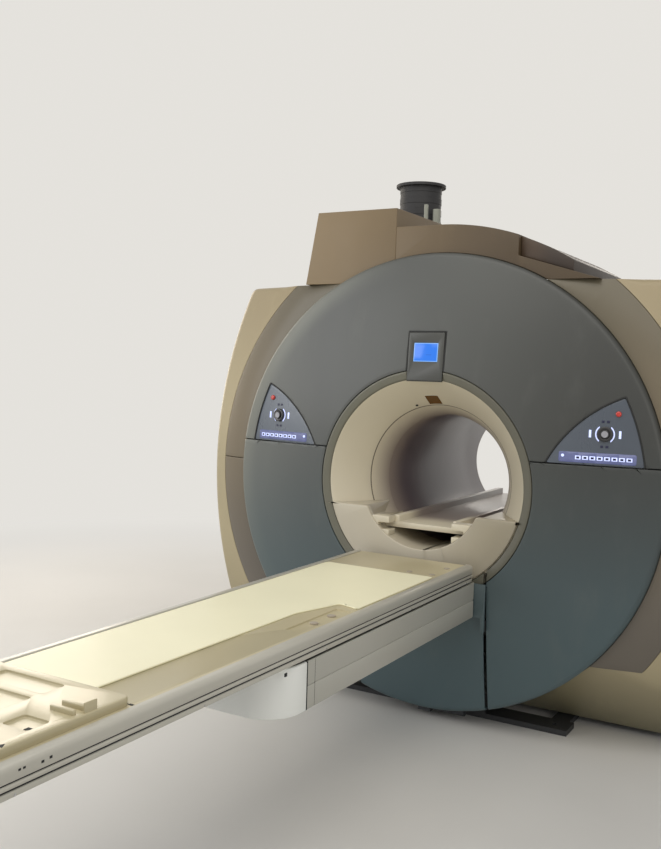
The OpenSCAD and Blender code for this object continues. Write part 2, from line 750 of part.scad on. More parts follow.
module floor_frame() color([0.2, 0.21, 0.22]) difference() {
    union() {
        for (s = [0, 1]) mirror_depth(s) {
            block(-620, 620, saddle_d - 60, saddle_d + 60, -axis_h, -700);
            block(-anchor_x / 2 - 60, anchor_x / 2 + 60, saddle_d - 60, saddle_d + 60, -axis_h,
                20 - axis_h);
        }
        both_sides() block(520, 600, saddle_d, body_depth - saddle_d, -axis_h, 60 - axis_h);
    }
    turned([[0, -5], [vessel_r + 0.2, -5], [vessel_r + 0.2, big], [0, big]]);
    both_sides() block(face_r / 4 - 6, big, -10, foot_back + 40, floor_gap - axis_h - 6, 0);
    both_sides() for (s = [-1, 1]) translate([anchor_x / 2, s * anchor_y / 2, -1])
        cylinder(r = anchor_r, h = 50, $fn = 48);
}

module front_support_frame() color([0.35, 0.37, 0.4]) {
    difference() {
        tube(carry_r0, carry_r1, carry_d0, carry_d1);
        lift_slots(0, 100, -ring_r / 2);
    }
    difference() {
        tube(hoop_r0, hoop_r1, hoop_d0, hoop_d1);
        block(-300, 300, 0, 300, -970, 0);
        block(-210, 210, 0, 300, -big, 0);
    }
    for (a = [10, 50, 90, 130, 170, 205, 335])
        rod_y(carry_mid * cos(a), carry_mid * sin(a), 10, carry_d1, vessel_d0);
    both_sides() rod_y(280, -400, 8, carry_d1, vessel_d0);
    for (a = [15:30:165]) rod_y((hoop_r0 + 10) * cos(a), (hoop_r0 + 10) * sin(a), 8, hoop_d1, vessel_d0);
    both_sides() for (a = [-15, -45]) rod_y((hoop_r0 + 10) * cos(a), (hoop_r0 + 10) * sin(a), 8,
        hoop_d1, vessel_d0);
}

// Lift behind the lower front cover
module lift_column() color([0.4, 0.42, 0.45]) difference() {
    union() {
        block(-210, 210, column_d, vessel_d0, guide_low, guide_top);
        both_sides() block(guide_x - guide_w / 2, guide_x + guide_w / 2, guide_d, column_d, guide_low,
            guide_top);
        block(-30, 30, screw_d - 18, column_d, screw_top - 10, screw_top + 8);
        block(-30, 30, screw_d - 18, column_d, screw_low, screw_low + 25);
        block(-60, 60, column_d, vessel_d0, screw_low, guide_top);
    }
    rod_z(0, screw_d, screw_r + 0.1, screw_low - 5, screw_top);
}

module lift_motor() color([0.25, 0.27, 0.3]) difference() {
    union() {
        block(-30, 30, screw_d - 17, screw_d + 22, screw_low - 55, screw_low);
        rod_x(screw_d + 2, screw_low - 28, 20, 30, 190);
    }
    rod_z(0, screw_d, screw_r - 2 + 0.1, screw_low - 20, screw_low + 5);
}

module lift_screw() color([0.7, 0.72, 0.75]) {
    rod_z(0, screw_d, screw_r, screw_low, screw_top - clear);
    rod_z(0, screw_d, screw_r - 2, screw_low - 18, screw_low);
}

module lift_carriage() color([0.5, 0.52, 0.55]) {
    block(-plate_half, plate_half, carriage_d0, carriage_d1, carriage_low, carriage_top);
    both_sides() {
        block(plate_half - 18, plate_half, carriage_d0, carriage_d1, carriage_top, arm_top);
        block(slot_x - arm_t / 2, slot_x + arm_t / 2, root_d1, carriage_d0, arm_low, arm_top);
        difference() {
            block(guide_x - guide_w / 2 - 14, guide_x + guide_w / 2 + 14, carriage_d1, guide_d + 12,
                carriage_low - 30, carriage_top);
            block(guide_x - guide_w / 2 - clear, guide_x + guide_w / 2 + clear, guide_d - clear,
                guide_d + 20, -big, 0);
        }
    }
    difference() {
        block(-30, 30, carriage_d1, screw_d + 17, carriage_low - 30, carriage_low + 35);
        rod_z(0, screw_d, screw_r + clear, -big, 0);
    }
}

// Beam that carries the table
module beam_root_plate() color([0.33, 0.38, 0.4]) {
    block(-slot_x - arm_t, slot_x + arm_t, root_d0, root_d1, beam_low, beam_top - 8);
    both_sides() block(slot_x - arm_t, slot_x + arm_t, root_d0, root_d1, arm_low, beam_low);
}

module beam_frame() color([0.45, 0.47, 0.5]) {
    both_sides() difference() {
        block(spar_x - 30, spar_x + 30, beam_near + 60, root_d0, spar_low, beam_top - 10);
        block(spar_x - 25, spar_x + 25, beam_near + 50, root_d0 - 20, spar_low + 5, beam_top - 15);
    }
    for (d = [cap_far - 30, -760, -330]) {
        block(-spar_x + 30, spar_x - 30, d, d + 30, spar_low, beam_top - 10);
        both_sides() block(spar_x + 30, beam_half - beam_wall, d, d + 30, spar_low, beam_top - 10);
    }
    both_sides() for (d = [cap_far - 30, -760, -330])
        block(spar_x - 30, spar_x + 30, d, d + 60, beam_top - 10, rail_low);
}

module beam_side_covers() color([0.8, 0.79, 0.76]) both_sides() slab(cap_far + 3, beam_far)
    polygon([[beam_half - beam_wall, beam_top], [beam_half, beam_top], [beam_half, beam_mid + 2.5],
        [beam_half - 3, beam_mid + 2.5], [beam_half - 3, beam_mid - 2.5], [beam_half, beam_mid - 2.5],
        [beam_half, beam_low + 5], [beam_half - 5, beam_low], [beam_half - beam_wall, beam_low]]);

module beam_bottom_cover() color([0.78, 0.77, 0.74])
    block(beam_wall - beam_half, beam_half - beam_wall, cap_far + 3, beam_far, beam_low, spar_low);

// Outline of the beam's rounded near end, seen from above
function near_end(half, near, r) = concat([[half, cap_far]],
    [for (i = [0:steps]) let (a = -i * 90 / steps) [half - r + r * cos(a), near + r + r * sin(a)]],
    [for (i = [0:steps]) let (a = -90 - i * 90 / steps)
        [-half + r + r * cos(a), near + r + r * sin(a)]],
    [[-half, cap_far]]);

module beam_end_cap() color([0.82, 0.81, 0.78]) difference() {
    level(beam_low, beam_top) polygon(near_end(beam_half, beam_near, beam_corner));
    level(beam_low + 6, beam_top + 5)
        polygon([for (p = near_end(beam_half - beam_wall, beam_near + beam_wall, beam_corner - beam_wall))
            p + [0, p[1] == cap_far ? 5 : 0]]);
}

// Table frame on the beam
module table_rails() color([0.9, 0.89, 0.84]) both_sides() slab(table_near, table_far)
    polygon([[rail_in, table_top - 3], [rail_in + 3, table_top], [table_half - 14, table_top],
        [table_half - 4, table_top - 4], [table_half, table_top - 14], [table_half, table_top - 36],
        [table_half - 4, table_top - 37], [table_half - 4, table_top - 40],
        [table_half, table_top - 41], [table_half, table_top - 50], [table_half - 5, table_top - 51],
        [table_half - 5, table_top - 56], [table_half - 2, table_top - 58],
        [table_half - 2, rail_low], [rail_in, rail_low]]);

module table_bed() color([0.55, 0.56, 0.57]) difference() {
    union() {
        block(-rail_in, rail_in, table_near, table_far, rail_low, bed_top);
        both_sides() block(180, 200, table_near, table_far, bed_top, board_low - clear);
        block(-rail_in, rail_in, table_near, table_near + 6, bed_top, board_low - clear);
        rod_z(0, idler_d, shaft_r, bed_top, pulley_low + pulley_h);
    }
    rod_z(0, drive_d, 12, -big, 0);
}

module drive_motor() color([0.22, 0.24, 0.27]) difference() {
    rod_z(0, drive_d, 45, rail_low - 110, rail_low);
    rod_z(0, drive_d, shaft_r + 0.05, rail_low - 12, rail_low + 5);
}

module drive_pulley() color([0.6, 0.62, 0.65]) {
    rod_z(0, drive_d, pulley_r, pulley_low, pulley_low + pulley_h);
    rod_z(0, drive_d, shaft_r, rail_low - 11, pulley_low);
}

module idler_pulley() color([0.6, 0.62, 0.65]) difference() {
    rod_z(0, idler_d, pulley_r, pulley_low, pulley_low + pulley_h);
    rod_z(0, idler_d, shaft_r + 0.05, pulley_low - 1, pulley_low + pulley_h + 1);
}

module drive_belt() color([0.1, 0.1, 0.1]) {
    both_sides() block(pulley_r + clear, pulley_r + clear + belt_t, idler_d, drive_d, pulley_low + 1,
        pulley_low + pulley_h - 1);
    for (p = [[drive_d, 0], [idler_d, 1]]) intersection() {
        difference() {
            rod_z(0, p[0], pulley_r + clear + belt_t, pulley_low + 1, pulley_low + pulley_h - 1);
            rod_z(0, p[0], pulley_r + clear, pulley_low, pulley_low + pulley_h);
        }
        block(-big, big, p[0] - big * p[1], p[0] + big * (1 - p[1]), -big, 0);
    }
}

// Tabletop with its coil strip, its raised near-end tray and the jaws of the belt clamp
module tabletop() color([0.93, 0.91, 0.82]) difference() {
    union() {
        block(-board_half, board_half, table_near + 3, table_far, board_low, board_top);
        block(-board_half + 12, board_half - 12, table_near + 12, tray_far, board_top, board_top + 22);
        block(pulley_r - 5, pulley_r, -strip_near - 10, 70 - strip_near, pulley_low, board_low);
        block(pulley_r + belt_t + 2 * clear, pulley_r + belt_t + 8, -strip_near - 10, 70 - strip_near,
            pulley_low, board_low);
    }
    block(175, board_half - 12, -strip_near, strip_far, board_top - 5, board_top + 50);
    block(-60, 110, table_near + 120, table_near + 260, board_top + 8, board_top + 50);
    block(40, 190, table_near + 310, table_near + 400, board_top + 8, board_top + 50);
}

module table_mat() color([0.94, 0.92, 0.78]) level(board_top, board_top + mat_t)
    polygon([[12 - board_half, tray_far + 12], [95, tray_far + 12], [105, 170 - strip_near],
        [160, strip_far + 55], [board_half - 6, strip_far + 30], [board_half - 6, -mat_gap],
        [12 - board_half, -mat_gap]]);

module coil_sockets() color([0.45, 0.42, 0.38]) {
    for (p = [[117, -330], [215, -327], [216, -182]]) rod_z(p[0], p[1], 12, board_top, board_top + 3);
    for (d = [120, 230]) rod_z(board_half - 43.5, d - strip_near, 14, board_top - 5, board_top);
    block(-20, 30, table_near + 170, table_near + 200, board_top + 8, board_top + 18);
    block(90, 140, table_near + 340, table_near + 365, board_top + 8, board_top + 18);
}

floor_frame();
front_support_frame();
front_cover_upper();
front_cover_lower_left();
front_cover_lower_right();
lift_cover_panel();
trim_ring();
trim_ring_lower();
front_funnel();
table_cradle();
bore_liner();
bore_bridge();
bridge_brackets();
rear_funnel();
rear_cover();
bevel_band_left();
bevel_band_right();
side_cover_left();
side_cover_right();
tower_cover();
arch_cover();
vent_box();
quench_pipe();
cold_head();
service_stubs();
display_housing();
display_screen();
control_panel_left();
control_panel_right();
panel_keys();
jog_knob_left();
jog_knob_right();
stop_button_left();
stop_button_right();
laser_window();
vacuum_vessel();
thermal_shield();
helium_vessel();
magnet_coils();
suspension_rods();
gradient_coil();
body_coil();
lift_column();
lift_motor();
lift_screw();
lift_carriage();
beam_root_plate();
beam_frame();
beam_side_covers();
beam_bottom_cover();
beam_end_cap();
table_rails();
table_bed();
drive_motor();
drive_pulley();
idler_pulley();
drive_belt();
tabletop();
table_mat();
coil_sockets();
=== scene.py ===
from math import acos, asin, atan, atan2, cos, degrees, dist, hypot, pi, radians, sin, sqrt, tan
import bpy
import bmesh
from mathutils import Matrix, Vector


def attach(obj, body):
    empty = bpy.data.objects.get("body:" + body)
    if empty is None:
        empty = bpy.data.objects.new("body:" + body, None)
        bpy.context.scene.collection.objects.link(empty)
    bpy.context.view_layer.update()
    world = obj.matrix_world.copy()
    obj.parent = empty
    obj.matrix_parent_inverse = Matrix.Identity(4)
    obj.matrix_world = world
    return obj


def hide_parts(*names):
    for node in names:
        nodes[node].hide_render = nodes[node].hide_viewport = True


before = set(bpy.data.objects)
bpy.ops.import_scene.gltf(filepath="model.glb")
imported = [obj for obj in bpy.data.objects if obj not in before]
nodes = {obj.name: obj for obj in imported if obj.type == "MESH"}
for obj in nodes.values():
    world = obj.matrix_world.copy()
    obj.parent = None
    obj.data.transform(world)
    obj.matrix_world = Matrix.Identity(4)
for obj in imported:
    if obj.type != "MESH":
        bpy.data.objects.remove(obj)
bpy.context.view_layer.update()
ringY, axisZ = -0.725, 1.06      # plane of the front ring and height of the bore axis
print("frame loaded")


def linked(name, data):  # a new object in the scene
    made = bpy.data.objects.new(name, data)
    bpy.context.scene.collection.objects.link(made)
    return made


# camera and lamps
camera = {"place": (1.733, -4.4811, 1.551), "yaw": -30.317, "pitch": -3.3299, "roll": 1.6989, "lens": 40.24}


def makeCamera():
    yaw, pitch, roll = (radians(camera[k]) for k in ("yaw", "pitch", "roll"))
    ahead = Vector((sin(yaw) * cos(pitch), cos(yaw) * cos(pitch), sin(pitch)))
    right = Vector((cos(yaw), -sin(yaw), 0))
    up = right.cross(ahead)
    right, up = cos(roll) * right + sin(roll) * up, cos(roll) * up - sin(roll) * right
    data = bpy.data.cameras.new("photoCamera")
    data.lens, data.sensor_width, data.sensor_fit, data.clip_end = camera["lens"], 36, "AUTO", 60
    made = linked("photoCamera", data)
    made.matrix_world = Matrix.Translation(camera["place"]) @ Matrix((right, up, -ahead)).transposed().to_4x4()
    bpy.context.scene.camera = made


lamps = [  # name, place, aimed at, size, watts, colour
    ("overhead", (0.6, -3.0, 4.3), (0, -1.2, 0.9), (4.5, 3.5), 80, (1, 0.96, 0.88)),
    ("frontLeft", (-3.6, -4.2, 2.6), (0, -0.7, 1.1), (2.6, 2.6), 62, (0.97, 0.98, 1)),
    ("frontRight", (4.2, -3.4, 2.3), (0.2, -0.7, 1.0), (2.6, 2.6), 26, (1, 0.96, 0.9)),
    ("behind", (-1.0, 4.2, 3.2), (0, 0.5, 1.1), (3.5, 2.5), 60, (1, 0.93, 0.84)),
    ("leftWash", (-4.6, 0.6, 2.4), (-1.2, 0, 1.1), (2.5, 2.5), 62, (1, 0.9, 0.76)),
]


def makeLamps():
    for name, place, aim, (wide, high), watts, colour in lamps:
        data = bpy.data.lights.new(name, "AREA")
        data.shape, data.size, data.size_y, data.energy, data.color = "RECTANGLE", wide, high, watts, colour
        lamp = linked(name, data)
        lamp.location = place
        lamp.rotation_euler = (Vector(aim) - Vector(place)).to_track_quat("-Z", "Y").to_euler()


# node trees as expressions
class Flow:  # one output socket that can be used in sums
    def __init__(self, graph, socket):
        self.graph, self.socket = graph, socket

    def math(self, operation, other=None, swap=False):
        pair = (other, self) if swap else (self, other)
        return self.graph.node("ShaderNodeMath", {"operation": operation}, *pair)

    def __add__(self, other): return self.math("ADD", other)
    def __radd__(self, other): return self.math("ADD", other, True)
    def __sub__(self, other): return self.math("SUBTRACT", other)
    def __rsub__(self, other): return self.math("SUBTRACT", other, True)
    def __mul__(self, other): return self.math("MULTIPLY", other)
    def __rmul__(self, other): return self.math("MULTIPLY", other, True)
    def __truediv__(self, other): return self.math("DIVIDE", other)
    def __rtruediv__(self, other): return self.math("DIVIDE", other, True)
    def __pow__(self, other): return self.math("POWER", other)

    def clamp(self, low=0.0, high=1.0):
        return self.graph.node("ShaderNodeClamp", {}, self, low, high)

    def rise(self, low, high):  # smoothly from 0 at low to 1 at high
        return self.graph.node("ShaderNodeMapRange", {"interpolation_type": "SMOOTHSTEP"}, self, low, high, 0.0, 1.0)

    def near(self, middle, half, edge):  # 1 within half of the middle, 0 outside
        return 1 - (self - middle).math("ABSOLUTE").rise(half - edge, half + edge)

    def output(self, name):  # another output of the same node
        return Flow(self.graph, self.socket.node.outputs[name])


class Graph:
    def __init__(self, tree):
        self.tree = tree

    def node(self, kind, settings=None, *values, out=0, **named):
        made = self.tree.nodes.new(kind)
        for key, value in (settings or {}).items():
            setattr(made, key, value)
        live = [s for s in made.inputs if s.enabled and not s.is_unavailable]
        for socket, value in list(zip(live, values)) + [(made.inputs[k.replace("_", " ")], v) for k, v in named.items()]:
            self.feed(socket, value)
        outs = [s for s in made.outputs if s.enabled and not s.is_unavailable]
        return Flow(self, outs[out] if isinstance(out, int) else made.outputs[out])

    def feed(self, socket, value):
        if isinstance(value, Flow):
            self.tree.links.new(value.socket, socket)
        elif value is not None:
            if socket.type == "RGBA" and len(value) == 3:
                value = (*value, 1)
            socket.default_value = value

    def join(self, *parts):
        made = self.node("GeometryNodeJoinGeometry")
        for part in parts:
            self.tree.links.new(part.socket, made.socket.node.inputs[0])
        return made


class Finish(Graph):  # a material with one principled shader
    def __init__(self, name):
        self.material = bpy.data.materials.new(name)
        self.material.use_nodes = True
        super().__init__(self.material.node_tree)
        self.tree.nodes.clear()
        self.base = self.tree.nodes.new("ShaderNodeBsdfPrincipled")
        self.end = self.tree.nodes.new("ShaderNodeOutputMaterial")
        self.tree.links.new(self.base.outputs[0], self.end.inputs[0])
        self.place = self.node("ShaderNodeTexCoord", {}, out="Object")

    def set(self, **values):
        for name, value in values.items():
            self.feed(self.base.inputs[name.replace("_", " ")], value)
        return self.material

    def along(self, axis):  # one Object coordinate in metres
        return self.node("ShaderNodeSeparateXYZ", {}, self.place, out="XYZ".index(axis))

    def cloud(self, scale, detail=3, rough=0.5, stretch=(1, 1, 1)):
        spot = self.node("ShaderNodeMapping", {}, self.place, Scale=stretch)
        return self.node("ShaderNodeTexNoise", {}, spot, Scale=scale, Detail=detail, Roughness=rough)

    def mix(self, mask, first, second):
        return self.node("ShaderNodeMix", {"data_type": "RGBA"}, mask, first, second)

    def bump(self, height, depth, strength=1.0):
        return self.node("ShaderNodeBump", {}, Strength=strength, Distance=depth, Height=height)


def tint(colour, by):
    return tuple(min(1.0, max(0.0, c * by)) for c in colour)


def moulded(name, colour, vary=0.03, dust=0.12, rough=0.38, coat=0.15, grain=900, peel=0.00012, low=None, fade=(), rim=None):
    s = Finish(name)  # painted or moulded plastic covers
    wide, smear = s.cloud(1.6, 4), s.cloud(7, 5, 0.6, (1, 1, 0.35))
    shade = s.mix(wide.rise(0.3, 0.7), tint(colour, 1 - vary), tint(colour, 1 + vary))
    for axis, other, begin, stop in fade:  # painted shade that grows along an axis
        shade = s.mix(s.along(axis).rise(begin, stop), shade, other)
    if rim:  # a painted highlight on the round cover's left edge, where light falls on its curve: its colour, and the radii between which it grows
        radius = (s.along("X") ** 2.0 + (s.along("Z") - axisZ) ** 2.0).math("SQRT")
        shade = s.mix(radius.rise(rim[1], rim[2]) * (1 - s.along("X").rise(-0.75, -0.1)), shade, rim[0])
    if low:  # a darker tone towards the floor, painted shade, on the round cover also the lower cover's own slate tone: its colour, and the heights between which it fades
        shade = s.mix(s.along("Z").rise(low[1], low[2]), low[0], shade)
    shade = s.mix((smear.rise(0.52, 0.78) * dust).clamp(), shade, tint(colour, 1.25))
    return s.set(Base_Color=shade, Roughness=(smear * 0.12 + (rough - 0.06)).clamp(0.02, 1), Coat_Weight=coat,
                 Coat_Roughness=0.2, Normal=s.bump(s.cloud(grain, 2), peel, 0.5))


def metal(name, colour, rough=0.3, brush=(1, 14, 14), scale=60):
    s = Finish(name)  # brushed, turned or sheet metal
    streak, spots = s.cloud(scale, 3, 0.6, brush), s.cloud(9, 4)
    return s.set(Base_Color=s.mix(streak.rise(0.3, 0.7), tint(colour, 0.86), tint(colour, 1.08)), Metallic=1.0,
                 Roughness=(streak * 0.16 + spots * 0.1 + (rough - 0.1)).clamp(0.05, 1),
                 Normal=s.bump(streak, 0.00008, 0.4))


def painted(name, colour, rough=0.45, worn=1.35):
    s = Finish(name)  # thick paint on frames and castings
    chips, coarse = s.cloud(26, 6, 0.7), s.cloud(420, 2)
    return s.set(Base_Color=s.mix(chips.rise(0.62, 0.8), colour, tint(colour, worn)),
                 Roughness=(coarse * 0.15 + rough).clamp(0.05, 1), Normal=s.bump(coarse, 0.00015, 0.5))


def glowing(name, colour, glow, strength):
    s = Finish(name)  # keys that shine by themselves
    grain = s.cloud(240, 2)
    return s.set(Base_Color=s.mix(grain.rise(0.3, 0.7), tint(colour, 0.94), colour),
                 Emission_Color=s.mix(grain.rise(0.2, 0.8), tint(glow, 0.9), glow), Emission_Strength=strength,
                 Roughness=(grain * 0.1 + 0.2).clamp())


# meshes, with sizes in millimetres
def spot(x, d, h):  # from the middle of the front ring, d backwards, h upwards
    return Vector((x / 1000, ringY + d / 1000, axisZ + h / 1000))


def roundSpot(r, d, a):  # on a circle round the bore axis
    return spot(r * cos(a), d, r * sin(a))


def steps(first, last, count):  # even values from first to last
    return [first + (last - first) * i / count for i in range(count + 1)]


def rect(x0, x1, y0, y1):
    return [(x0, y0), (x1, y0), (x1, y1), (x0, y1)]


def arc(cx, ch, r, start, end, count=48):
    return [(cx + r * cos(a), ch + r * sin(a)) for a in (radians(t) for t in steps(start, end, count))]


class Editing:  # with Editing(mesh) as bm: the mesh takes what is changed in bm
    def __init__(self, mesh):
        self.mesh, self.bm = mesh, bmesh.new()
        self.bm.from_mesh(mesh)

    def __enter__(self):
        return self.bm

    def __exit__(self, *trouble):
        self.bm.to_mesh(self.mesh)
        self.bm.free()


def fromLists(name, points, faces):
    mesh = bpy.data.meshes.new(name)
    mesh.from_pydata([tuple(p) for p in points], [], faces)
    with Editing(mesh) as bm:
        bmesh.ops.remove_doubles(bm, verts=bm.verts, dist=1e-6)
        bmesh.ops.dissolve_degenerate(bm, edges=bm.edges, dist=1e-6)
        bmesh.ops.recalc_face_normals(bm, faces=bm.faces)
    return linked(name, mesh)


def duplicate(piece, name):
    return linked(name, piece.data.copy())


def fromCad(node, name):  # a merged copy of a CAD node
    made = duplicate(nodes[node], name)
    with Editing(made.data) as bm:
        bmesh.ops.remove_doubles(bm, verts=bm.verts, dist=2e-5)
        bmesh.ops.dissolve_limit(bm, angle_limit=radians(0.6), verts=bm.verts, edges=bm.edges)
    return made


def evaluated(piece):  # a plain mesh with the piece's modifiers applied
    graph = bpy.context.evaluated_depsgraph_get()
    graph.update()
    mesh = bpy.data.meshes.new_from_object(piece.evaluated_get(graph))
    piece.modifiers.clear()
    return mesh


def modified(piece, kind, **settings):
    change = piece.modifiers.new(kind.lower(), kind)
    for key, value in settings.items():
        setattr(change, key, value)
    old, piece.data = piece.data, evaluated(piece)
    piece.data.name = piece.name
    bpy.data.meshes.remove(old)
    return piece


def cut(piece, *tools, operation="DIFFERENCE"):
    for tool in tools:
        modified(piece, "BOOLEAN", operation=operation, object=tool, solver="EXACT")
        bpy.data.objects.remove(tool)
    return piece


def sharpen(piece, crease=35):  # smooth faces with crisp edges where the surface turns
    with Editing(piece.data) as bm:
        for face in bm.faces:
            face.smooth = True
        for edge in bm.edges:
            edge.smooth = len(edge.link_faces) == 2 and edge.calc_face_angle(0) < radians(crease)
    return piece


def soften(piece, width, segments=2, turn=50):  # rounded edges where the surface turns by more than that
    with Editing(piece.data) as bm:
        bmesh.ops.remove_doubles(bm, verts=bm.verts, dist=2e-5)
        bmesh.ops.dissolve_degenerate(bm, edges=bm.edges, dist=1e-5)
    modified(piece, "BEVEL", width=width / 1000, segments=segments, limit_method="ANGLE", use_clamp_overlap=False,
             angle_limit=radians(turn), miter_outer="MITER_ARC")
    return sharpen(piece)


def mirrored(piece, name):
    made = duplicate(piece, name)
    with Editing(made.data) as bm:
        for v in bm.verts:
            v.co.x = -v.co.x
        bmesh.ops.reverse_faces(bm, faces=bm.faces)
    return made


def lathe(name, profile, place, turns, crease=35):  # a closed profile of (radius, height) round an axis
    n = len(profile)
    points = [place(r, z, 2 * pi * i / turns) for i in range(turns) for r, z in profile]
    faces = [(i * n + k, i * n + (k + 1) % n, (i + 1) % turns * n + (k + 1) % n, (i + 1) % turns * n + k)
             for i in range(turns) for k in range(n)]
    if profile[0][0] < 0.01:  # the ends meet on the axis
        faces = [f for f in faces if not {f[0] % n, f[1] % n} == {0, n - 1}]
    return sharpen(fromLists(name, points, faces), crease)


def spin(name, profile, turns=256):  # (radius, depth) round the bore axis
    return lathe(name, profile, roundSpot, turns)


def upright(name, profile, x, d, turns):  # (radius, height) round a vertical axis
    return lathe(name, profile, lambda r, h, a: spot(x + r * cos(a), d + r * sin(a), h), turns)


def turned(name, profile, at, turns=64, wobble=lambda a, r, z: 0):  # (radius, height) round the Z of a frame
    def place(r, z, a):
        out = r + wobble(a, r, z)
        return at @ Vector((out * cos(a) / 1000, out * sin(a) / 1000, z / 1000))

    return lathe(name, profile, place, turns, 40)


def extruded(name, outline, low, high, place):
    n = len(outline)
    faces = [tuple(range(n)), tuple(range(2 * n - 1, n - 1, -1))]
    faces += [(i, (i + 1) % n, n + (i + 1) % n, n + i) for i in range(n)]
    return fromLists(name, [place(a, b, t) for t in (low, high) for a, b in outline], faces)


def slab(name, outline, d0=-60, d1=220):  # an outline of (x, h) with a depth, by default through the whole dome
    return extruded(name, outline, d0, d1, lambda x, h, d: spot(x, d, h))


def level(name, outline, h0, h1):  # an outline of (x, d) with a height
    return extruded(name, outline, h0, h1, spot)


def across(name, outline, x0, x1):  # an outline of (d, h) from side to side
    return extruded(name, outline, x0, x1, lambda d, h, x: spot(x, d, h))


def box(x0, x1, d0, d1, h0, h1, name="box"):
    return slab(name, rect(x0, x1, h0, h1), d0, d1)


def through(x0, x1, h0, h1):  # a box that cuts through the whole dome
    return slab("opening", rect(x0, x1, h0, h1))


def rounded(outline, radius, bends=6, corner=25):  # bends in place of the sharp corners
    n, result, curves, dropped = len(outline), [], {}, set()

    def walk(start, step):
        left, i = radius, start
        while True:
            dropped.add(i)
            j = (i + step) % n
            reach = dist(outline[i], outline[j])
            if reach > left:
                return [outline[i][k] + (outline[j][k] - outline[i][k]) * left / reach for k in (0, 1)]
            left, i = left - reach, j

    for i in range(n):
        (ax, ay), (bx, by), (cx, cy) = outline[i - 1], outline[i], outline[(i + 1) % n]
        turn = atan2(cy - by, cx - bx) - atan2(by - ay, bx - ax)
        if abs((turn + pi) % (2 * pi) - pi) > radians(corner):
            before, after = walk(i, -1), walk(i, 1)
            curves[i] = [tuple((1 - t) ** 2 * before[m] + 2 * t * (1 - t) * outline[i][m] + t * t * after[m]
                               for m in (0, 1)) for t in steps(0, 1, bends)]
    for i in range(n):
        if i in curves:
            result += curves[i]
        elif i not in dropped:
            result.append(outline[i])
    return result


def joined(name, *pieces):  # one mesh out of several separate shapes
    mesh = bpy.data.meshes.new(name)
    with Editing(mesh) as bm:
        for piece in pieces:
            bm.from_mesh(piece.data)
            bpy.data.objects.remove(piece)
    return linked(name, mesh)


# patterns made by geometry nodes
def patternTree(name, inputs, build):  # a geometry tree with named inputs, ended by Realize Instances and Set Material
    tree = bpy.data.node_groups.new(name, "GeometryNodeTree")
    for way in ("INPUT", "OUTPUT"):
        tree.interface.new_socket(name="Geometry", in_out=way, socket_type="NodeSocketGeometry")
    for label, value in {**inputs, "Material": None}.items():
        kind = "Material" if label == "Material" else "Int" if isinstance(value, int) else "Float"
        made = tree.interface.new_socket(name=label, in_out="INPUT", socket_type="NodeSocket" + kind)
        if kind != "Material":
            made.default_value = value
    graph = Graph(tree)
    entry = tree.nodes.new("NodeGroupInput")
    given = {s.name: Flow(graph, s) for s in entry.outputs if s.name}
    real = graph.node("GeometryNodeRealizeInstances", {}, build(graph, given))
    done = graph.node("GeometryNodeSetMaterial", {}, real, Material=given["Material"])
    leave = tree.nodes.new("NodeGroupOutput")
    tree.links.new(done.socket, leave.inputs[0])
    return tree


def grown(name, rows, tree, **values):  # the plain mesh that a tree makes from points, each with the way it faces
    mesh = bpy.data.meshes.new("seed")
    mesh.from_pydata([tuple(p) for p, aim in rows], [], [])
    store = mesh.attributes.new("aim", "FLOAT_VECTOR", "POINT")
    for item, (p, aim) in zip(store.data, rows):
        item.vector = aim
    base = linked("seed", mesh)
    change = base.modifiers.new("pattern", "NODES")
    change.node_group = tree
    for item in tree.interface.items_tree:
        if item.in_out == "INPUT" and item.name in values:
            change[item.identifier] = values[item.name]
    mesh = evaluated(base)
    bpy.data.objects.remove(base)
    return linked(name, mesh)


def studs(graph, given):  # short bevelled cylinders that stand on the points, along their aim
    sides, radius, height = given["Sides"], given["Radius"], given["Height"]
    shape = graph.node("GeometryNodeMeshCylinder", {}, sides, 1, 1, radius, height)
    head = graph.node("GeometryNodeMeshCylinder", {}, sides, 1, 1, radius * given["Crown"], height * 1.25)
    aim = graph.node("GeometryNodeInputNamedAttribute", {"data_type": "FLOAT_VECTOR"}, "aim")
    turn = graph.node("FunctionNodeAlignRotationToVector", {"axis": "Z"}, Vector=aim)
    return graph.node("GeometryNodeInstanceOnPoints", {}, given["Geometry"], Instance=graph.join(shape, head), Rotation=turn)


def capShape(graph, given):  # a key cap with drafted sides, on every point
    grid = graph.node("GeometryNodeMeshGrid", {}, given["Width"], given["Depth"], 2, 2)
    raised = {"mode": "FACES"}
    wall = graph.node("GeometryNodeExtrudeMesh", raised, grid, Offset_Scale=given["Height"] * 0.7)
    edge = graph.node("GeometryNodeExtrudeMesh", raised, wall, Offset_Scale=given["Height"] * 0.3, Selection=wall.output("Top"))
    cap = graph.node("GeometryNodeScaleElements", {}, edge, Scale=given["Draft"], Selection=edge.output("Top"))
    both = graph.join(cap, graph.node("GeometryNodeFlipFaces", {}, grid))
    whole = graph.node("GeometryNodeMergeByDistance", {}, both, Distance=0.00001)
    euler = graph.node("GeometryNodeInputNamedAttribute", {"data_type": "FLOAT_VECTOR"}, "aim")
    turn = graph.node("FunctionNodeEulerToRotation", {}, euler)
    return graph.node("GeometryNodeInstanceOnPoints", {}, given["Geometry"], Instance=whole, Rotation=turn)


studTree = patternTree("studs", {"Sides": 6, "Radius": 0.008, "Height": 0.008, "Crown": 0.85}, studs)
capTree = patternTree("keyCaps", {"Width": 0.02, "Depth": 0.012, "Height": 0.002, "Draft": 0.82}, capShape)
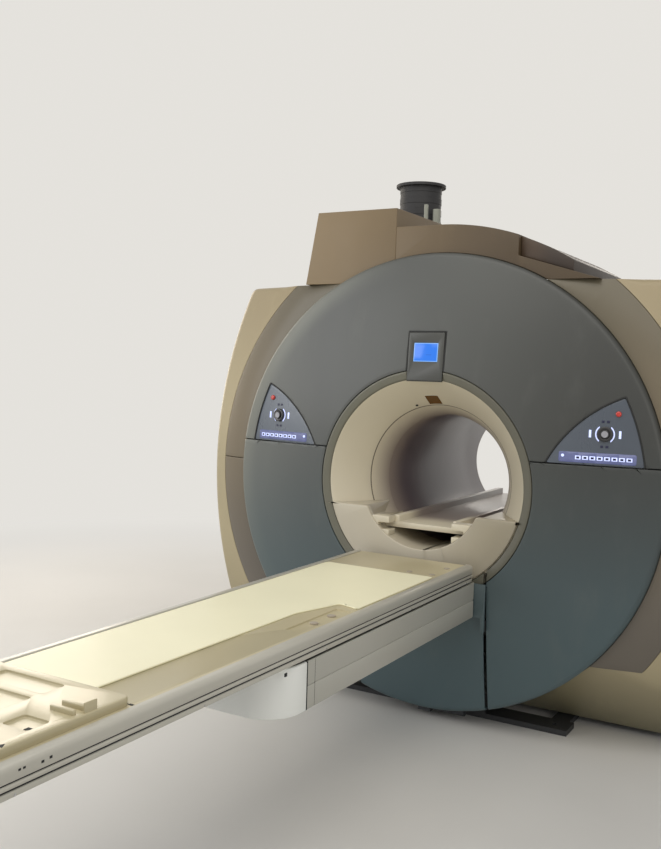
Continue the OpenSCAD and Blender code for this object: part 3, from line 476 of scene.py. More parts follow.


# finishes, one for each material slot, and a few tones beside them
# slate: the lower cover's own blue-grey tone, deepened as painted shade towards the floor
slate = (0.075, 0.115, 0.126)
finishes = {
    # cover_grey: painted light and shade, paler on the left and darker towards the right, with a painted highlight on
    # the left rim
    "cover_grey": moulded("coverGrey", (0.142, 0.147, 0.133), vary=0.04, rough=0.44, coat=0.1, low=(slate, 0.25, 1.35),
                          rim=((0.2, 0.205, 0.175), 0.9, 1.01),
                          fade=(("X", (0.077, 0.081, 0.076), -1.0, -0.5), ("X", (0.039, 0.041, 0.038), 0.0, 0.8))),
    # trim_taupe: darker towards the right as painted shade
    "trim_taupe": moulded("trimTaupe", (0.142, 0.138, 0.104), rough=0.45, fade=(("X", (0.11, 0.105, 0.078), -0.1, 0.4),)),
    # funnel_white: darker deeper into the mouth as painted shade
    "funnel_white": moulded("funnelWhite", (0.69, 0.63, 0.49), dust=0.08, rough=0.34, coat=0.3,
                            fade=(("Y", (0.3, 0.25, 0.22), -0.57, -0.4),)),
    # liner_plum: the liner's pale colour darkened and tinted plum as painted shade and tinted light inside the bore,
    # darker still further in
    "liner_plum": moulded("linerPlum", (0.3, 0.25, 0.22), rough=0.36, coat=0.3, fade=(("Y", (0.13, 0.1, 0.112), -0.43, -0.25),)),
    # cradle_white: darker towards the right as painted shade
    "cradle_white": moulded("cradleWhite", (0.54, 0.49, 0.385), dust=0.08, rough=0.36, coat=0.25,
                            fade=(("X", (0.34, 0.3, 0.22), -0.1, 0.4),)),
    # cover_cream: painted shade towards the floor, and darker high up as painted shade
    "cover_cream": moulded("coverCream", (0.44, 0.37, 0.225), vary=0.05, rough=0.42, low=((0.2, 0.185, 0.12), -0.1, 0.6),
                           fade=(("Z", (0.33, 0.265, 0.155), 1.2, 1.95),)),
    # top_cream: the tower's and arch's cream darkened as painted shade, and darker still towards the right as painted
    # shade
    "top_cream": moulded("topCream", (0.225, 0.16, 0.082), vary=0.05, rough=0.5, coat=0.05,
                         fade=(("X", (0.066, 0.043, 0.02), -0.75, 0.4),)),
    "rear_cream": moulded("rearCream", (0.4, 0.35, 0.26), vary=0.05, rough=0.42),
    # band_brown: painted shade lower down, and darker high up as painted shade
    "band_brown": moulded("bandBrown", (0.185, 0.148, 0.095), vary=0.05, rough=0.42, low=((0.14, 0.122, 0.098), 0.5, 1.2),
                          fade=(("Z", (0.12, 0.102, 0.066), 1.3, 1.95),)),
    # vent_brown: a dark brown, partly the grille's own tone and partly painted shade of its recess, darker still
    # towards the right as painted shade
    "vent_brown": moulded("ventBrown", (0.05, 0.028, 0.013), rough=0.55, fade=(("X", (0.024, 0.013, 0.007), 0.4, 0.52),)),
    "pipe_black": moulded("pipeBlack", (0.018, 0.018, 0.02), rough=0.6, grain=160, peel=0.0012, coat=0.0),
    "stub_grey": painted("stubGrey", (0.3, 0.31, 0.26), rough=0.4),
    "service_steel": metal("serviceSteel", (0.62, 0.61, 0.58)),
    "display_shell": moulded("displayShell", (0.052, 0.054, 0.049), rough=0.42),
    # panel_grey: darker towards the right as painted shade
    "panel_grey": moulded("panelGrey", (0.105, 0.125, 0.155), rough=0.28, coat=0.35, grain=500,
                          fade=(("X", (0.07, 0.085, 0.11), 0.2, 0.9),)),
    "strip_glow": glowing("stripGlow", (0.1, 0.11, 0.19), (0.1, 0.12, 0.3), 0.5),
    "key_light": glowing("keyLight", (0.5, 0.55, 0.8), (0.55, 0.62, 1.0), 0.9),
    "key_ink": moulded("keyInk", (0.012, 0.014, 0.05), rough=0.4, coat=0.0),
    "knob_black": moulded("knobBlack", (0.012, 0.012, 0.014), rough=0.3, coat=0.4),
    "cap_grey": moulded("capGrey", (0.34, 0.34, 0.37), rough=0.35),
    "stop_red": moulded("stopRed", (0.55, 0.03, 0.02), rough=0.3, coat=0.5),
    "laser_amber": moulded("laserAmber", (0.16, 0.08, 0.02), rough=0.15, coat=0.8),
    # frame_steel: near-black, darkened as painted shade so the floor frame merges into the shadow under the covers
    "frame_steel": painted("frameSteel", (0.03, 0.031, 0.033)),
    "vessel_steel": metal("vesselSteel", (0.5, 0.51, 0.52), rough=0.4),
    "shield_aluminium": metal("shieldAluminium", (0.7, 0.71, 0.72), rough=0.25),
    "coil_copper": metal("coilCopper", (0.7, 0.34, 0.16), scale=120, brush=(1, 30, 1)),
    "rod_composite": painted("rodComposite", (0.6, 0.45, 0.12), rough=0.35, worn=1.1),
    "gradient_resin": painted("gradientResin", (0.55, 0.42, 0.16), rough=0.4, worn=1.15),
    "screw_steel": metal("screwSteel", (0.6, 0.6, 0.6), rough=0.22, scale=200, brush=(1, 1, 12)),
    "motor_dark": painted("motorDark", (0.03, 0.033, 0.038)),
    "beam_grey": moulded("beamGrey", (0.44, 0.43, 0.375), vary=0.025, dust=0.08, rough=0.36, coat=0.3),
    "cap_white": moulded("capWhite", (0.86, 0.87, 0.82), dust=0.06, rough=0.3, coat=0.4),
    "rail_white": moulded("railWhite", (0.5, 0.48, 0.41), dust=0.06, rough=0.3, coat=0.4),
    "pulley_metal": metal("pulleyMetal", (0.55, 0.56, 0.58)),
    "belt_rubber": painted("beltRubber", (0.02, 0.02, 0.02), rough=0.7, worn=1.6),
    "board_cream": moulded("boardCream", (0.53, 0.465, 0.295), vary=0.02, dust=0.06, rough=0.34, coat=0.25),
    "mat_cream": moulded("matCream", (0.9, 0.86, 0.61), dust=0.05, rough=0.5, grain=420, peel=0.0005),
    "socket_grey": moulded("socketGrey", (0.4, 0.35, 0.28), rough=0.45),
    "seam_grey": moulded("seamGrey", (0.17, 0.145, 0.11), rough=0.6, coat=0.0),
    "seam_black": moulded("seamBlack", (0.012, 0.013, 0.013), rough=0.7, coat=0.0),
}
# the lower covers share this finish, with its slate tone and painted shade towards the floor
finishes["cover_slate"] = finishes["cover_grey"]


def screenFinish():  # a lit panel with plain blocks on it, drawn from its own coordinates
    s = Finish("displayBlue")
    x, z = s.along("X") * 1000.0, (s.along("Z") - axisZ) * 1000.0
    edge = (1 - x.near(0, 53, 0.8) * z.near(576.5, 37, 0.8)).clamp()
    rows = (z / 7.0).math("FRACT").near(0.5, 0.12, 0.05) * z.near(592, 17, 0.5) * x.near(-8, 36, 0.5) * 0.07
    dark = z.near(566, 2.2, 0.8) * x.near(14, 13, 2.0) * 0.45 + rows
    glow = s.mix(dark.clamp(), s.mix(edge, (0.014, 0.185, 0.82), (0.2, 0.45, 0.93)), (0.01, 0.1, 0.5))
    return s.set(Base_Color=s.mix(edge, (0.01, 0.03, 0.1), (0.05, 0.07, 0.1)), Emission_Color=glow,
                 Emission_Strength=0.95, Roughness=(s.cloud(300, 2) * 0.1 + 0.12).clamp())


finishes["display_blue"] = screenFinish()
print("finishes made")


def settle(piece, body, finish, *replaced):  # its finish, the body it rides on and the CAD nodes it stands for
    piece.data.materials.clear()
    piece.data.materials.append(finishes[finish])
    for face in piece.data.polygons:
        face.material_index = 0
    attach(piece, body)
    if replaced:
        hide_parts(*replaced)


def settleBoth(piece, body, finish, *replaced):  # a piece on the right, and its mirror on the left
    other = mirrored(piece, piece.name.replace("Right", "Left"))
    for part, way in ((piece, "right"), (other, "left")):
        settle(part, body.replace("right", way), finish, *(node.replace("right", way) for node in replaced))


def studded(name, rows, body, finish, sides, radius, height, crown):
    made = grown(name, rows, studTree, Material=finishes[finish], Sides=sides, Radius=radius, Height=height, Crown=crown)
    settle(made, body, finish)


# round front cover
face = {"ring": 500, "edge": 1015, "sag": 82, "wall": 8, "rim": 26, "rimEnd": 121, "lip": 28, "split": 137, "gap": 2.5,
        "panelArc": (941, 1060, -114, 571), "slot": (305, 319), "display": (84, 452, 663), "edgeRound": 1.6}


def sag(r):
    return face["sag"] * (r * r - face["ring"] ** 2) / (face["edge"] ** 2 - face["ring"] ** 2)


def domeShell(name, shift=0.0):
    r0, wall, rim, edge = face["ring"] + face["gap"], face["wall"], face["rim"], face["edge"]
    middle = edge - rim
    slope = atan(2 * face["sag"] * middle / (edge ** 2 - face["ring"] ** 2))
    last = middle + rim * sin(slope)
    centre = sag(last) + rim * cos(slope)
    turns = steps(slope, pi / 2, 8)
    profile = [(r, sag(r)) for r in steps(r0, last, 30)[:-1]]
    profile += [(middle + rim * sin(a), centre - rim * cos(a)) for a in turns]
    profile += [(edge, face["rimEnd"]), (edge - wall, face["rimEnd"])]
    profile += [(middle + (rim - wall) * sin(a), centre - (rim - wall) * cos(a)) for a in turns[:0:-1]]
    profile += [(r, sag(r) + wall) for r in steps(last, r0 + wall, 30)] + [(r0 + wall, face["lip"]), (r0, face["lip"])]
    return spin(name, [(r, d + shift) for r, d in profile])


def domePatch(name, shift, outline):  # the part of such a shell that lies inside an outline
    return cut(domeShell(name, shift), slab("outline", outline), operation="INTERSECT")


def panelOutline(grow):  # the curved triangle of a control panel, on the right
    r1, cx, ch, r2 = face["panelArc"]
    r1, r2, low = r1 + grow, r2 + grow, face["split"] + face["gap"]
    apex = hypot(cx, ch)
    along = (r1 * r1 - r2 * r2 + apex * apex) / (2 * apex)
    off = sqrt(r1 * r1 - along * along)
    tip = (along * cx - off * ch) / apex, (along * ch + off * cx) / apex
    outer = arc(0, 0, r1, degrees(asin(low / r1)), degrees(atan2(tip[1], tip[0])), 40)
    first, final = degrees(atan2(tip[1] - ch, tip[0] - cx)), 180 - degrees(asin((low - ch) / r2))
    return outer + arc(cx, ch, r2, first, final, 40)[1:]


def makeFace():
    gap, split, (s0, s1), (dx, d0, d1), bend = (face[k] for k in ("gap", "split", "slot", "display", "edgeRound"))
    upper = domeShell("upperCover")
    cut(upper, through(-1100, 1100, -1100, split + gap), through(-dx - gap, dx + gap, d0 - gap, d1 + gap))
    for way in (1, -1):
        cut(upper, slab("window", [(way * x, h if h > split + gap + 0.1 else h - 9) for x, h in rounded(panelOutline(gap), 7)]))
    settle(soften(upper, bend), "housing", "cover_grey", "front_cover_upper")
    lower = cut(domeShell("lowerCoverRight"), through(-1100, 1100, split - gap, 1100), through(-1100, s1, -1100, split))
    settleBoth(soften(lower, bend), "housing", "cover_slate", "front_cover_lower_right")
    middle = domeShell("liftPanel")
    cut(middle, through(-1100, -s0, -1100, 1100), through(s0, 1100, -1100, 1100), through(-1100, 1100, 0, 1100))
    settle(soften(middle, bend), "housing", "cover_slate", "lift_cover_panel")


makeFace()
print("front covers made")


# trim rings and bore mouth
mouth = {"bore": 300, "mouth": 459, "lip": 14, "depth": 290, "curve": 1.21, "wall": 6, "ledge": -118, "trough": 285,
         "body": 1450, "rear": 400, "rearDepth": 45, "rearDome": 60, "seam": 191}
ringProfile = [(461, 12), (462.5, 9.5), (466, 5.6), (468.5, 4.6), (491, 0.5), (494, 0.2), (497.5, 1.2), (499.6, 3.8), (500, 6),
               (500, 20), (461, 20)]


def flare(d):
    left = max(0.0, 1 - (d - mouth["lip"]) / (mouth["depth"] - mouth["lip"]))
    return mouth["bore"] + (mouth["mouth"] - mouth["bore"]) * left ** mouth["curve"]


def makeRings():
    s0, s1 = face["slot"]
    dx = face["display"][0] + face["gap"]
    ring = cut(spin("trimRing", ringProfile), through(-s1, s1, -600, -250), through(-dx, dx, 0, 600))
    settle(soften(ring, 1.0), "housing", "trim_taupe", "trim_ring")
    foot = spin("trimRingFoot", ringProfile)
    cut(foot, through(-600, -s0, -600, 600), through(s0, 600, -600, 600), through(-600, 600, 0, 600))
    settle(soften(foot, 1.0), "housing", "trim_taupe", "trim_ring_lower")


def flaredSheet(graph, given):  # a grid bent into the flared mouth: u runs round the axis, v along it
    grid = graph.node("GeometryNodeMeshGrid", {}, 1.0, 1.0, given["Turns"], given["Rows"])
    where = graph.node("GeometryNodeInputPosition")
    u, v = (graph.node("ShaderNodeSeparateXYZ", {}, where, out=i) for i in (0, 1))
    angle, depth = (u + 0.5) * (2 * pi), (v + 0.5) * given["Length"]
    left = (1 - depth / given["Length"]).math("MAXIMUM", 0.0)
    radius = given["Bore radius"] + (given["Mouth radius"] - given["Bore radius"]) * left ** given["Curve"]
    place = graph.node("ShaderNodeCombineXYZ", {}, radius * angle.math("COSINE"), depth + given["Start"],
                       radius * angle.math("SINE") + given["Axis height"])
    moved = graph.node("GeometryNodeSetPosition", {}, grid, Position=place)
    return graph.node("GeometryNodeMergeByDistance", {}, moved, Distance=0.00002)


def makeMouth():
    b, w, body, bend, (s0, s1) = mouth["bore"], mouth["wall"], mouth["body"], mouth["rearDepth"], face["slot"]
    sizes = {"Bore radius": b / 1000, "Mouth radius": mouth["mouth"] / 1000, "Length": (mouth["depth"] - mouth["lip"] - 1.5) / 1000,
             "Curve": mouth["curve"], "Start": ringY + mouth["lip"] / 1000, "Axis height": axisZ, "Turns": 193, "Rows": 33}
    front = grown("boreMouth", [((0, 0, 0), (0, 0, 1))], patternTree("flaredMouth", sizes, flaredSheet))
    with Editing(front.data) as bm:
        lip = [e for e in bm.edges if e.is_boundary and min(v.co.y for v in e.verts) < ringY + 0.03]
        for r, d in ((461, 12.2), (461.5, 12.1), (461.5, 20.2), (499, 20.2)):  # the edge rolls over behind the trim ring
            made = bmesh.ops.extrude_edge_only(bm, edges=lip)["geom"]
            lip = [g for g in made if isinstance(g, bmesh.types.BMEdge)]
            for v in {v for e in lip for v in e.verts}:
                v.co = roundSpot(r, d, atan2(v.co.z - axisZ, v.co.x))
        bmesh.ops.recalc_face_normals(bm, faces=bm.faces)
        middle = min(bm.faces, key=lambda f: abs(f.calc_center_median().y - (ringY + 0.15)))
        c = middle.calc_center_median()
        if middle.normal.dot(Vector((-c.x, 0, axisZ - c.z))) < 0:  # the sheet faces the axis
            bmesh.ops.reverse_faces(bm, faces=bm.faces)
    modified(front, "SOLIDIFY", thickness=w / 1000, offset=-1, use_even_offset=True)
    high = -sqrt(467 ** 2 - 312 ** 2) - 4
    cut(front, box(s0, s1, -60, 58, -700, high), box(-s1, -s0, -60, 58, -700, high))
    settle(sharpen(front), "housing", "funnel_white", "front_funnel")
    seam = [(flare(mouth["seam"] + d) + r, mouth["seam"] + d) for r, d in ((-1.2, -2.4), (-1.2, 2.4), (1.5, 2.4), (1.5, -2.4))]
    settle(spin("mouthSeam", seam), "housing", "seam_grey")
    end = body - bend
    liner = [(b + 1.2, 290), (b, 292.4), (b, end - 2.4), (b + 1.2, end), (b + w, end), (b + w, 290)]
    settle(spin("boreLiner", liner), "housing", "liner_plum", "bore_liner")
    settle(spin("mouthGasket", [(b + 2.2, 287.6), (b + 2.2, 291.4), (b + 5.6, 291.4), (b + 5.6, 287.6)]), "housing", "seam_black")
    roll = lambda r: [(b + bend - r * cos(a), end + (r - 2) * sin(a)) for a in steps(0, pi / 2, 16)]
    r0 = mouth["rear"]
    rim = [(r0 - 3.2, body - 2), (r0 - 2, body - 3.2), (r0 - 2, body - 30), (r0 + 6, body - 30), (r0 + 6, body - 36),
           (r0 - 8, body - 36), (r0 - 8, body - w - 2)]
    settle(spin("rearMouth", roll(bend) + rim + roll(bend - w)[::-1]), "housing", "funnel_white", "rear_funnel")


def makeCradle():
    t, ledge, depth = mouth["trough"], mouth["ledge"], mouth["depth"]
    core = [(0, 0.4), (mouth["mouth"] - 0.8, 0.4)] + [(flare(d) - 0.4, d) for d in steps(mouth["lip"], depth, 24)] + [(0, depth)]
    cradle = spin("tableCradle", core, 192)
    cut(cradle, box(t - 60, t - 5, 30, 300, ledge - 57, ledge + 20), box(5 - t, 60 - t, 30, 300, ledge - 57, ledge + 20),
        spin("trough", [(0, -9), (t, -9), (t, 300), (0, 300)], 192), box(-600, 600, -60, 400, ledge, 600))
    settle(soften(cradle, 5, 3), "housing", "cradle_white", "table_cradle")


makeRings()
makeMouth()
makeCradle()
print("bore mouth made")


# bevelled bands and side covers
side = {"half": 1260, "arc": 2500, "top": 890, "low": -1030, "band": 1171, "bandDepth": 155, "slope": 0.35, "rear": 1360, "middle": -20,
        "foot": 128, "footTop": -700, "footLeft": 253.75, "tilt": 43, "wall": 8, "open": 1018, "edge": 26, "fold": 16, "split": 34}


def makeBands():
    hoop, flange, top, low, split = 129, 168, side["top"], side["footTop"], side["split"]
    profile = [(1017, 112), (1171, 155), (1171, flange), (1183, flange), (1183, flange + 6), (1163, flange + 6), (1163, 163),
               (1030, hoop + 8), (1003, hoop + 8), (1003, hoop), (1017, hoop)]
    band = cut(spin("bandRight", profile), through(-1300, 1300, top + 0.3, 1300), box(-1300, 1300, 160, 400, top - 8.3, 1300),
               through(-1300, 1300, -1300, low), through(-1300, 0, -1300, 1300), through(0, 1300, split - 1.5, split + 1.5))
    settleBoth(soften(band, 1.5), "housing", "band_brown", "bevel_band_right")


def frontDepth(x, h):  # the sloping front, and the foot that leans back under it
    a = side["bandDepth"] + side["slope"] * (hypot(x, h) - side["band"])
    b = side["foot"] + (side["footTop"] - h) * tan(radians(side["tilt"]))
    return 0.5 * (a + b + sqrt((a - b) ** 2 + 16 ** 2))


def rayHit(angle, path):  # where a ray from the bore axis meets a path
    c, s = cos(angle), sin(angle)
    for (ax, ay), (bx, by) in zip(path, path[1:]):
        det = c * (by - ay) - s * (bx - ax)
        if abs(det) < 1e-12:
            continue
        t, u = (ax * (by - ay) - ay * (bx - ax)) / det, (ax * s - ay * c) / det
        if t > 0 and -1e-9 <= u <= 1 + 1e-9:
            return t * c, t * s
    return path[-1]


def sideColumn(angle, place, ahead, behind, bottom):  # points from the opening over the front and the edge to the back
    (x, h), inner, opening, footTop = place, side["band"] + 2, side["open"], side["footTop"]
    reach = dist(ahead, behind)
    nx, nh = (ahead[1] - behind[1]) / reach, (behind[0] - ahead[0]) / reach
    start = inner if angle >= asin(footTop / inner) else opening
    if asin(footTop / inner) > angle > asin(footTop / opening):   # along the lower end of the band
        start = footTop / sin(angle)
    flat = start >= hypot(x, h) - 1
    qx, qh = (x, h) if flat else (start * cos(angle), start * sin(angle))
    room = 0.0 if flat or bottom else min(side["edge"], 0.4 * dist((x, h), (qx, qh)))
    depthAt = (lambda px, ph: 167.0) if flat else frontDepth
    sx, sh = x - nx * room, h - nh * room
    column = []
    for t in steps(0, 1, 12):
        px, ph = qx + (sx - qx) * t, qh + (sh - qh) * t
        column.append(spot(px, depthAt(px, ph), ph))
    for turn in steps(0, pi / 2, 5)[1:]:
        px, ph = x - nx * room * (1 - sin(turn)), h - nh * room * (1 - sin(turn))
        column.append(spot(px, depthAt(px, ph) + room * (1 - cos(turn)), ph))
    back, fold = side["rear"], 0 if bottom else side["fold"]
    for turn in steps(0, pi / 2, 5):
        column.append(spot(x - nx * fold * (1 - cos(turn)), back - fold * (1 - sin(turn)), h - nh * fold * (1 - cos(turn))))
    return column + [roundSpot(opening, back, angle)]


def makeSide():
    big, top, low, left, opening = (side[k] for k in ("arc", "top", "low", "footLeft", "open"))
    edgeX = lambda h: side["half"] - big + sqrt(big * big - (h - side["middle"]) ** 2)
    end = (sqrt(opening ** 2 - top ** 2), top)
    bent = rounded([(left, low)] + [(edgeX(h), h) for h in steps(low, top, 60)] + [end, (left, top)], 34, 8)
    bent = [p for p in bent if p[1] > low + 1e-6 or p[0] >= left][:-1]
    path = [(left, low)] + [p for p in bent if p[0] > left + 1] + [end]
    first, last = atan2(low, left), asin(top / opening)
    cornerLow, cornerHigh = atan2(low, edgeX(low)), atan2(top, edgeX(top))
    marks = steps(first, cornerLow, 26) + steps(cornerLow, cornerHigh, 110) + steps(cornerHigh, last, 26)
    marks += [a + k * 0.004 for a in (cornerLow, cornerHigh) for k in range(-9, 10)]
    marks = sorted({round(a, 5) for a in marks if first <= a <= last})
    places = [rayHit(a, path) for a in marks]
    bottoms = [h < low + 0.5 and x < edgeX(low) - 45 for x, h in places]
    columns = [sideColumn(a, places[i], places[min(i + 1, len(marks) - 1)], places[max(i - 1, 0)], bottoms[i])
               for i, a in enumerate(marks)]
    n, edgeRow = len(columns[0]), 17
    faces = [(i * n + k, i * n + k + 1, (i + 1) * n + k + 1, (i + 1) * n + k) for i in range(len(columns) - 1)
             for k in range(n - 1) if not (k == edgeRow and bottoms[i] and bottoms[i + 1])]      # open under the foot
    cover = fromLists("sideCoverRight", [p for column in columns for p in column], faces)
    with Editing(cover.data) as bm:
        bm.faces.ensure_lookup_table()
        if max(bm.faces, key=lambda f: f.calc_center_median().x).normal.x < 0:
            bmesh.ops.reverse_faces(bm, faces=bm.faces)
    modified(cover, "SOLIDIFY", thickness=side["wall"] / 1000, offset=-1)
    settleBoth(sharpen(cover, 40), "housing", "cover_cream", "side_cover_right")


makeBands()
makeSide()
print("bands and side covers made")


# top housing and rear cover
top = {"low": 890.3, "high": 1225, "left": 688, "lean": 60, "right": -215, "arch": 1140, "archEnd": 362, "shoulder": (994, 710),
       "front": 112, "rear": 1290, "wall": 8}
pipe = {"x": -358, "depth": 660, "radius": 105, "flange": 125, "low": 1040, "high": 1430, "joints": (1262, 1318, 1374), "bolts": 8}


def boltPlaces():
    ring = pipe["radius"] + 10
    angles = [radians(22.5 + 360 / pipe["bolts"] * i) for i in range(pipe["bolts"])]
    return [(pipe["x"] + ring * cos(a), pipe["depth"] + ring * sin(a)) for a in angles]


def hollowCover(name, outer, inner, edge):
    t = top["wall"]
    shell = soften(slab(name, outer, top["front"], top["rear"]), edge, 4, 40)
    return cut(shell, slab("inside", inner, top["front"] + t, top["rear"] - t),
               spin("round", [(0, -60), (side["open"], -60), (side["open"], 1600), (0, 1600)]))


def makeTop():
    low, high, left, lean, right, t = (top[k] for k in ("low", "high", "left", "lean", "right", "wall"))
    outer = [(-left, low), (right, low), (right, high), (lean - left, high)]
    inner = [(t - left - 2, low - 10), (right - t, low - 10), (right - t, high - t), (lean - left + t + 1, high - t)]
    tower = hollowCover("tower", outer, inner, 2.5)
    cut(tower, level("hole", arc(pipe["x"], pipe["depth"], pipe["radius"] + 4, 0, 360, 96)[:-1], 1020, 1300))
    settle(sharpen(tower), "housing", "top_cream", "tower_cover")
    end, x0, big, (shoulder, run) = top["archEnd"], right + 0.3, top["arch"], top["shoulder"]

    def archOutline(w, drop):
        a, e, base, fall = big - w, end - w, low - drop, (run - end) / (shoulder - low)
        foot = [(x0 + w, base), (run + fall * (drop - w), base), (end, shoulder - w)] + ([(e, shoulder - w)] if w else [])
        return foot + arc(0, 0, a, degrees(acos(e / a)), 90, 40) + [(x0 + w, a)]

    settle(sharpen(hollowCover("arch", archOutline(0, 0), archOutline(t, 10), 2)), "housing", "top_cream", "arch_cover")
    settle(soften(fromCad("vent_box", "ventBox"), 3, 3, 40), "housing", "vent_brown", "vent_box")


def makePipe():
    r, flange, low, high = (pipe[k] for k in ("radius", "flange", "low", "high"))
    profile = [(r - 6, low), (flange, low), (flange, low + 13), (flange - 1, low + 14), (r, low + 14)]
    for h in pipe["joints"]:   # taped joints of the wrapping
        profile += [(r, h - 14), (r - 1.6, h - 12.5), (r - 1.6, h + 12.5), (r, h + 14)]
    profile += [(r, high - 14), (flange - 1, high - 14), (flange, high - 13), (flange, high - 1), (flange - 1, high), (r - 6, high)]
    tube = upright("quenchPipe", profile, pipe["x"], pipe["depth"], 96)
    hole = [(0, high - 20), (5.5, high - 20), (5.5, high + 5), (0, high + 5)]
    cut(tube, *(upright("hole", hole, x, d, 24) for x, d in boltPlaces()))
    settle(sharpen(tube), "housing", "pipe_black", "quench_pipe")


def rearFall(r):
    return mouth["rearDome"] * (r * r - mouth["rear"] ** 2) / (face["edge"] ** 2 - mouth["rear"] ** 2)


def makeRear():
    body, r0, r1 = mouth["body"], mouth["rear"], face["edge"]
    profile = [(r, body - rearFall(r)) for r in steps(r0, r1 - 20, 26)]
    last = profile[-1][1]
    profile += [(r1 - 20 * (1 - sin(a)), last - 20 * (1 - cos(a)) - 2 * sin(a)) for a in steps(0, pi / 2, 6)[1:-1]]
    profile += [(r1, body - mouth["rearDome"] - 20), (r1, body - 140), (r1 - 8, body - 140)]
    profile += [(r + 8, body - 8 - rearFall(r)) for r in steps(r0, r1 - 34, 26)[::-1]] + [(r0 + 8, body - 30), (r0, body - 30)]
    settle(spin("rearCover", profile), "housing", "rear_cream", "rear_cover")


makeTop()
makePipe()
makeRear()
print("top housing and rear cover made")


# controls on the face
controls = {"knob": (775, 265, 31), "stop": (822, 347, 11), "keys": (676, 28, 8, 167), "round": (616, 173), "sink": 2, "shaft": 6,
            "screen": (56.5, 536, 617), "ribs": 36, "fit": -2.5, "flange": 14, "bead": 4, "proud": -0.9, "keyBase": -1.9}


def onFace(x, h):  # a frame on the dome: its Z points out of the cover, its X stays level
    r = hypot(x, h)
    steep = 2 * face["sag"] * r / (face["edge"] ** 2 - face["ring"] ** 2)
    out = Vector((steep * x / r, -1, steep * h / r)).normalized()
    right = Vector((1, steep * x / r, 0)).normalized()
    turn = Matrix((right, out.cross(right), out)).transposed().to_4x4()
    return Matrix.Translation(spot(x, sag(r), h)) @ turn


def caps(name, places, lift, finish, width, depth, height):  # key caps, at a height over the dome
    frames = [onFace(x, h) for x, h in places]
    rows = [(at @ Vector((0, 0, lift / 1000)), tuple(at.to_euler())) for at in frames]
    return grown(name, rows, capTree, Material=finishes[finish], Width=width, Depth=depth, Height=height)


def makePanels():
    (kx, kh, kr), (sx, sh, sr), fit = controls["knob"], controls["stop"], rounded(panelOutline(controls["fit"]), 7)
    plate = soften(domePatch("panelRight", controls["sink"], fit), 1.2)
    seal = domePatch("panelSealRight", face["wall"] + 0.3, panelOutline(controls["flange"]))
    for piece, finish in ((plate, "panel_grey"), (seal, "seam_black")):
        for x, h, r, turns in ((sx, sh, sr + 0.3, 48), (kx, kh, controls["shaft"] + 0.1, 32)):
            cut(piece, turned("hole", [(0, -60), (r, -60), (r, 30), (0, 30)], onFace(x, h), turns))
        settleBoth(sharpen(piece), "housing", finish, "control_panel_right")
    bead = domePatch("panelBeadRight", controls["proud"], rounded(panelOutline(controls["bead"]), 7))
    cut(bead, slab("inside", fit), through(-1100, 1100, -1100, face["split"] + face["gap"]))
    settleBoth(bead, "housing", "seam_black")


def makeKeys():
    (kx, kh, kr), (first, pitch, count, row), (rx, rh) = controls["knob"], controls["keys"], controls["round"]
    strip = rounded(rect(rx - 16, first + pitch * count - 2, row - 20, row + 22), 9)
    settleBoth(domePatch("keyStripRight", controls["sink"] - 0.7, strip), "housing", "strip_glow")
    inRow = [(first + pitch * i, row) for i in range(count)]
    beside = [(kx + (kr + 26) * s, kh) for s in (-1, 1)]
    base = controls["keyBase"]
    rowKeys = caps("rowKeys", inRow, base, "key_light", 0.022, 0.015, 0.0024)
    ringKeys = caps("ringKeys", beside, base, "key_light", 0.009, 0.03, 0.0024)
    dot = turned("roundKey", [(0, base), (6, base), (6, 0.0), (5.2, 0.6), (0, 0.6)], onFace(rx, rh), 32)
    glow = [(kr + 2, -1.95), (kr + 2, -1.2), (kr + 3, -0.7), (kr + 6, -0.7), (kr + 7, -1.2), (kr + 7, -1.95)]
    halo = cut(turned("knobHalo", glow, onFace(kx, kh), 72), through(kx - 22, kx + 22, kh - 60, kh + 60))
    settleBoth(sharpen(joined("keysRight", rowKeys, ringKeys, dot, halo), 30), "housing", "key_light", "panel_keys")
    corners = [(kx + s * 10, kh + t * (kr + 19)) for s in (-1, 1) for t in (-1, 1)]
    icons = joined("keyIconsRight", caps("marks", inRow, 0.45, "key_ink", 0.012, 0.0085, 0.0006),
                   caps("dots", corners, base, "key_ink", 0.011, 0.0095, 0.0018))
    settleBoth(icons, "housing", "key_ink")


def makeKnobs():
    (kx, kh, kr), (sx, sh, sr), ribs = controls["knob"], controls["stop"], controls["ribs"]
    grip = lambda a, r, z: 0.8 * cos(ribs * a) if r > kr - 2.5 and 0.5 < z < 8.5 else 0.0
    profile = [(0, -24), (6, -24), (6, -1.7), (kr - 0.6, -1.7), (kr - 0.9, 0), (kr - 1.1, 1), (kr - 1.4, 8), (kr - 3.2, 9.6),
               (kr - 7, 10), (kr * 0.62, 8.6), (kr * 0.56, 8.2), (kr * 0.55, 13.6), (kr * 0.5, 14.8), (kr * 0.3, 14.2), (0, 13.9)]
    settleBoth(turned("knobRight", profile, onFace(kx, kh), ribs * 8, grip), "right_knob", "knob_black", "jog_knob_right")
    profile = [(0, 13.9), (kr * 0.3, 14.2), (kr * 0.42, 14.75), (kr * 0.42, 15.0), (kr * 0.3, 14.75), (0, 14.5)]
    settleBoth(turned("knobCapRight", profile, onFace(kx, kh), 48), "right_knob", "cap_grey")
    profile = [(0, -20), (sr, -20), (sr, 3.2), (sr - 0.5, 4.6), (sr - 2, 6), (sr - 5, 6.8), (0, 7)]
    settleBoth(turned("stopRight", profile, onFace(sx, sh), 48), "right_stop", "stop_red", "stop_button_right")


